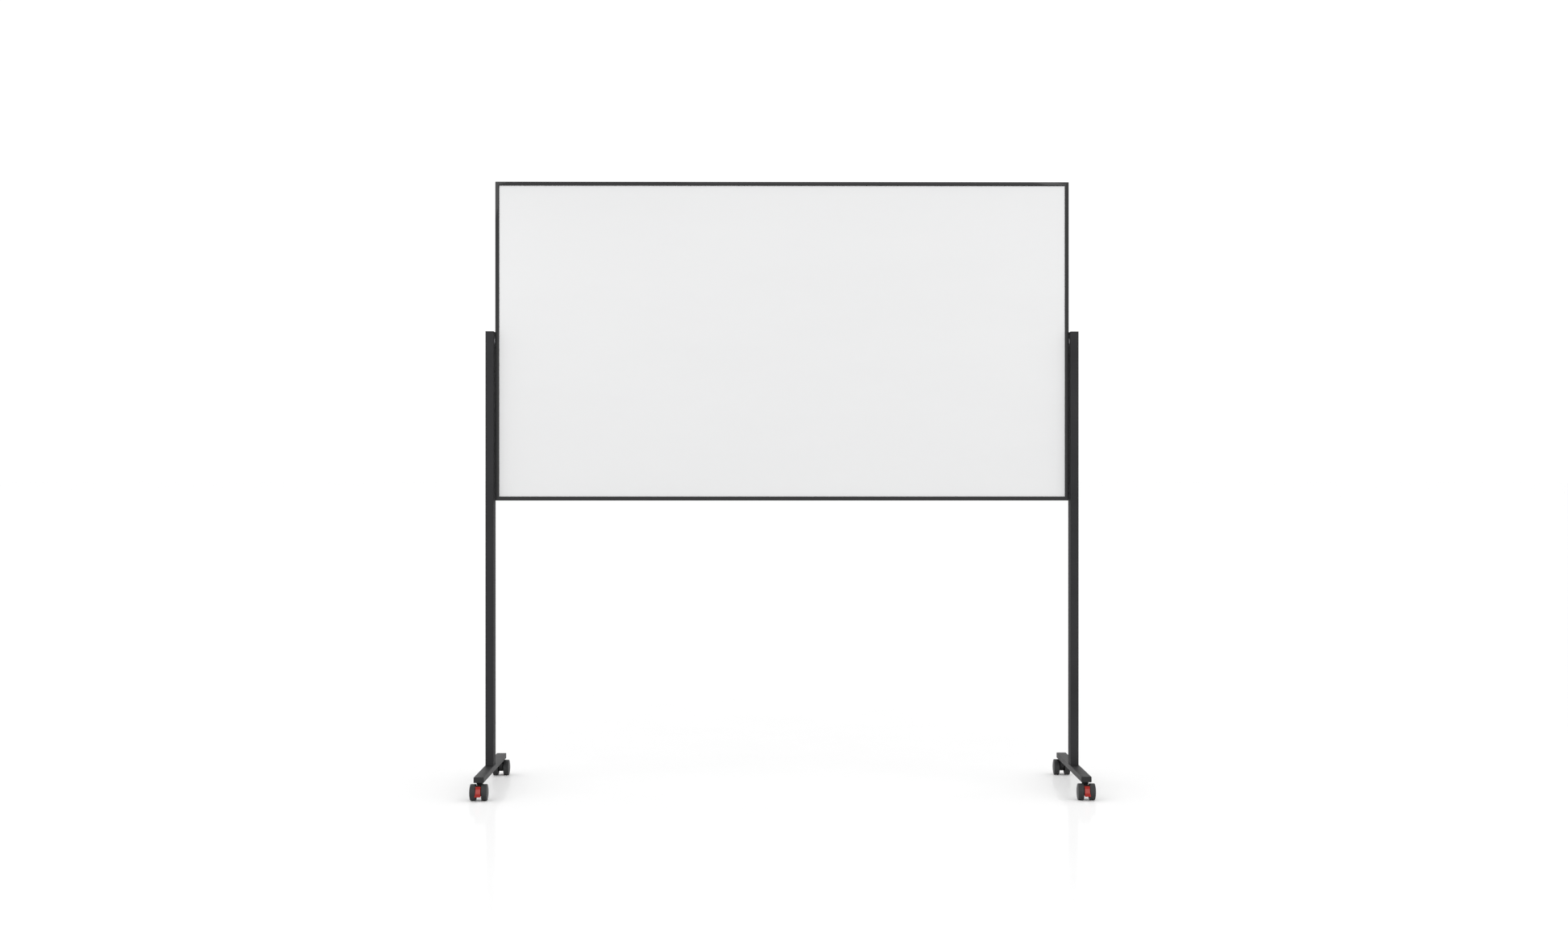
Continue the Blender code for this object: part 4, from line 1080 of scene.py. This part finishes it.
def bush_shape():
    """Flanged bush along +X from the board's outer edge at zero."""
    low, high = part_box("right_pivot_bush")
    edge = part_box("frame_top_rail")[1].x
    start = low.x - edge
    end = high.x - edge
    flange = (high.z - low.z) / 2
    sleeve = BUSH_SLEEVE_RADIUS
    bore = PIVOT_BOLT_RADIUS + GAP
    flange_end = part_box("right_post")[0].x - edge - GAP
    profile = filleted([
        (bore, start, 0.0002), (flange, start, 0.0005), (flange, flange_end, 0.0005),
        (sleeve, flange_end, 0), (sleeve, end, 0.0005), (bore, end, 0.0002),
    ], 3)
    return transformed(turned(profile, closed=True), SIDEWAYS)


def build_pivots(finishes):
    bush = bush_shape()
    for side_name, side in SIDES.items():
        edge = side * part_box("frame_top_rail")[1].x
        place = Matrix.Translation((edge, 0, centre_of(f"{side_name}_pivot_bolt").z))
        matrix = place @ Matrix.Rotation(0.0 if side > 0 else HALF_TURN, 4, "Z")
        place_piece(f"{side_name}_pivot_bush", bush, finishes["nylon"], matrix)


def finish_hidden_nodes(finishes):
    """Give the CAD pieces that stay as they are their own finishes."""
    by_ending = {
        "nut_plate": "zinc", "foot_bolt": "zinc", "pivot_bolt": "zinc", "pivot_nut": "zinc",
        "board_core": "core",
    }
    for name, item in frame["nodes"].items():
        for ending, finish in by_ending.items():
            if name.endswith(ending):
                set_finish(item, finishes[finish])
        if name.startswith("frame_key"):
            set_finish(item, finishes["nylon"])


def set_finish(item, finish):
    if not item.material_slots:
        item.data.materials.append(finish)
    for slot in item.material_slots:
        slot.material = finish


# ---------------------------------------------------------------- studio

def build_camera():
    data = bpy.data.cameras.new("camera")
    data.lens = LENS
    data.sensor_width = SENSOR
    data.sensor_fit = "HORIZONTAL"
    data.clip_end = FLOOR_SIZE
    camera = bpy.data.objects.new("camera", data)
    camera.location = CAMERA_PLACE
    camera.rotation_euler = (math.pi / 2, 0.0, CAMERA_TURN)
    bpy.context.scene.collection.objects.link(camera)
    bpy.context.scene.camera = camera


def floor_finish():
    """Matt white studio floor under a thin clear sheen."""
    item, tree, shader, place = surface("studio_floor", specular=0.0, coat=0.16, coat_roughness=0.10)
    cloud = noise(tree, place, 3.0, 3.0)
    coloured(tree, shader, cloud, (0.922, 0.922, 0.922), (0.932, 0.932, 0.932))
    roughened(tree, shader, cloud, 0.60, 0.66)
    return item


def build_floor():
    half = FLOOR_SIZE / 2
    mesh = bpy.data.meshes.new("floor")
    corners = [(-half, -half, 0), (half, -half, 0), (half, half, 0), (-half, half, 0)]
    mesh.from_pydata(corners, [], [(0, 1, 2, 3)])
    mesh.materials.append(floor_finish())
    floor = bpy.data.objects.new("floor", mesh)
    bpy.context.scene.collection.objects.link(floor)


def softbox(name, place, aim, size, radiance):
    """Area light; its power follows from its size and how bright it looks."""
    data = bpy.data.lights.new(name, "AREA")
    data.shape = "RECTANGLE"
    data.size, data.size_y = size
    data.energy = radiance * math.pi * size[0] * size[1]
    lamp = bpy.data.objects.new(name, data)
    lamp.location = place
    lamp.rotation_euler = (Vector(aim) - Vector(place)).to_track_quat("-Z", "Y").to_euler()
    bpy.context.scene.collection.objects.link(lamp)
    return lamp


def build_studio():
    world = bpy.data.worlds.new("studio")
    world.use_nodes = True
    background = world.node_tree.nodes["Background"]
    background.inputs["Color"].default_value = (1.0, 1.0, 1.0, 1.0)
    background.inputs["Strength"].default_value = WORLD_BRIGHTNESS
    bpy.context.scene.world = world
    bpy.context.scene.view_settings.view_transform = "Standard"
    softbox("key", (0.9, -5.2, 4.4), (0.0, 0.0, 0.8), (3.0, 2.0), 0.5)
    softbox("fill_left", (-3.3, -2.6, 0.9), (0.6, 0.0, 0.6), (2.4, 1.6), 1.0)
    softbox("fill_right", (3.3, -2.6, 0.9), (-0.6, 0.0, 0.6), (2.4, 1.6), 1.0)
    # These two show only as reflections in the frame's satin faces.
    strips = (
        softbox("strip_left", (-3.235, -6.85, 4.14), (-3.235, 0.0, 4.14), (3.0, 3.0), 1.1),
        softbox("strip_right", (1.77, -6.85, 4.275), (1.77, 0.0, 4.275), (0.14, 3.0), 1.3),
    )
    for strip in strips:
        strip.visible_diffuse = False


# ---------------------------------------------------------------- build

def make_finishes():
    black = (0.020, 0.020, 0.021)
    return {
        "post": powder_coat("post_powder_coat", tinted(black, 1.5), 0.75, 0.10),
        "bar": powder_coat("bar_powder_coat", black, 0.52, 0.17),
        "plastic": moulded_plastic("black_plastic", (0.024, 0.024, 0.025), 0.55, 0.4),
        "cap": moulded_plastic("foot_cap_plastic", (0.018, 0.018, 0.019), 0.55, 0.27),
        "fork": moulded_plastic("fork_plastic", (0.030, 0.030, 0.031), 0.60, 0.04),
        "wheel": wheel_nylon("wheel_nylon"),
        "red": red_plastic("red_plastic"),
        "zinc": zinc_plate("zinc_plate"),
        "enamel": white_enamel("white_enamel"),
        "core": honeycomb_board("honeycomb_board"),
        "nylon": moulded_plastic("grey_nylon", (0.30, 0.30, 0.31), 0.50),
        "level_rail": drawn_aluminium("level_rail_aluminium", "x"),
        "upright_rail": drawn_aluminium("upright_rail_aluminium", "z"),
    }


def main():
    build_camera()
    finishes = make_finishes()
    build_stand(finishes)
    build_casters(finishes)
    build_board(finishes)
    build_pivots(finishes)
    finish_hidden_nodes(finishes)
    build_floor()
    build_studio()


main()
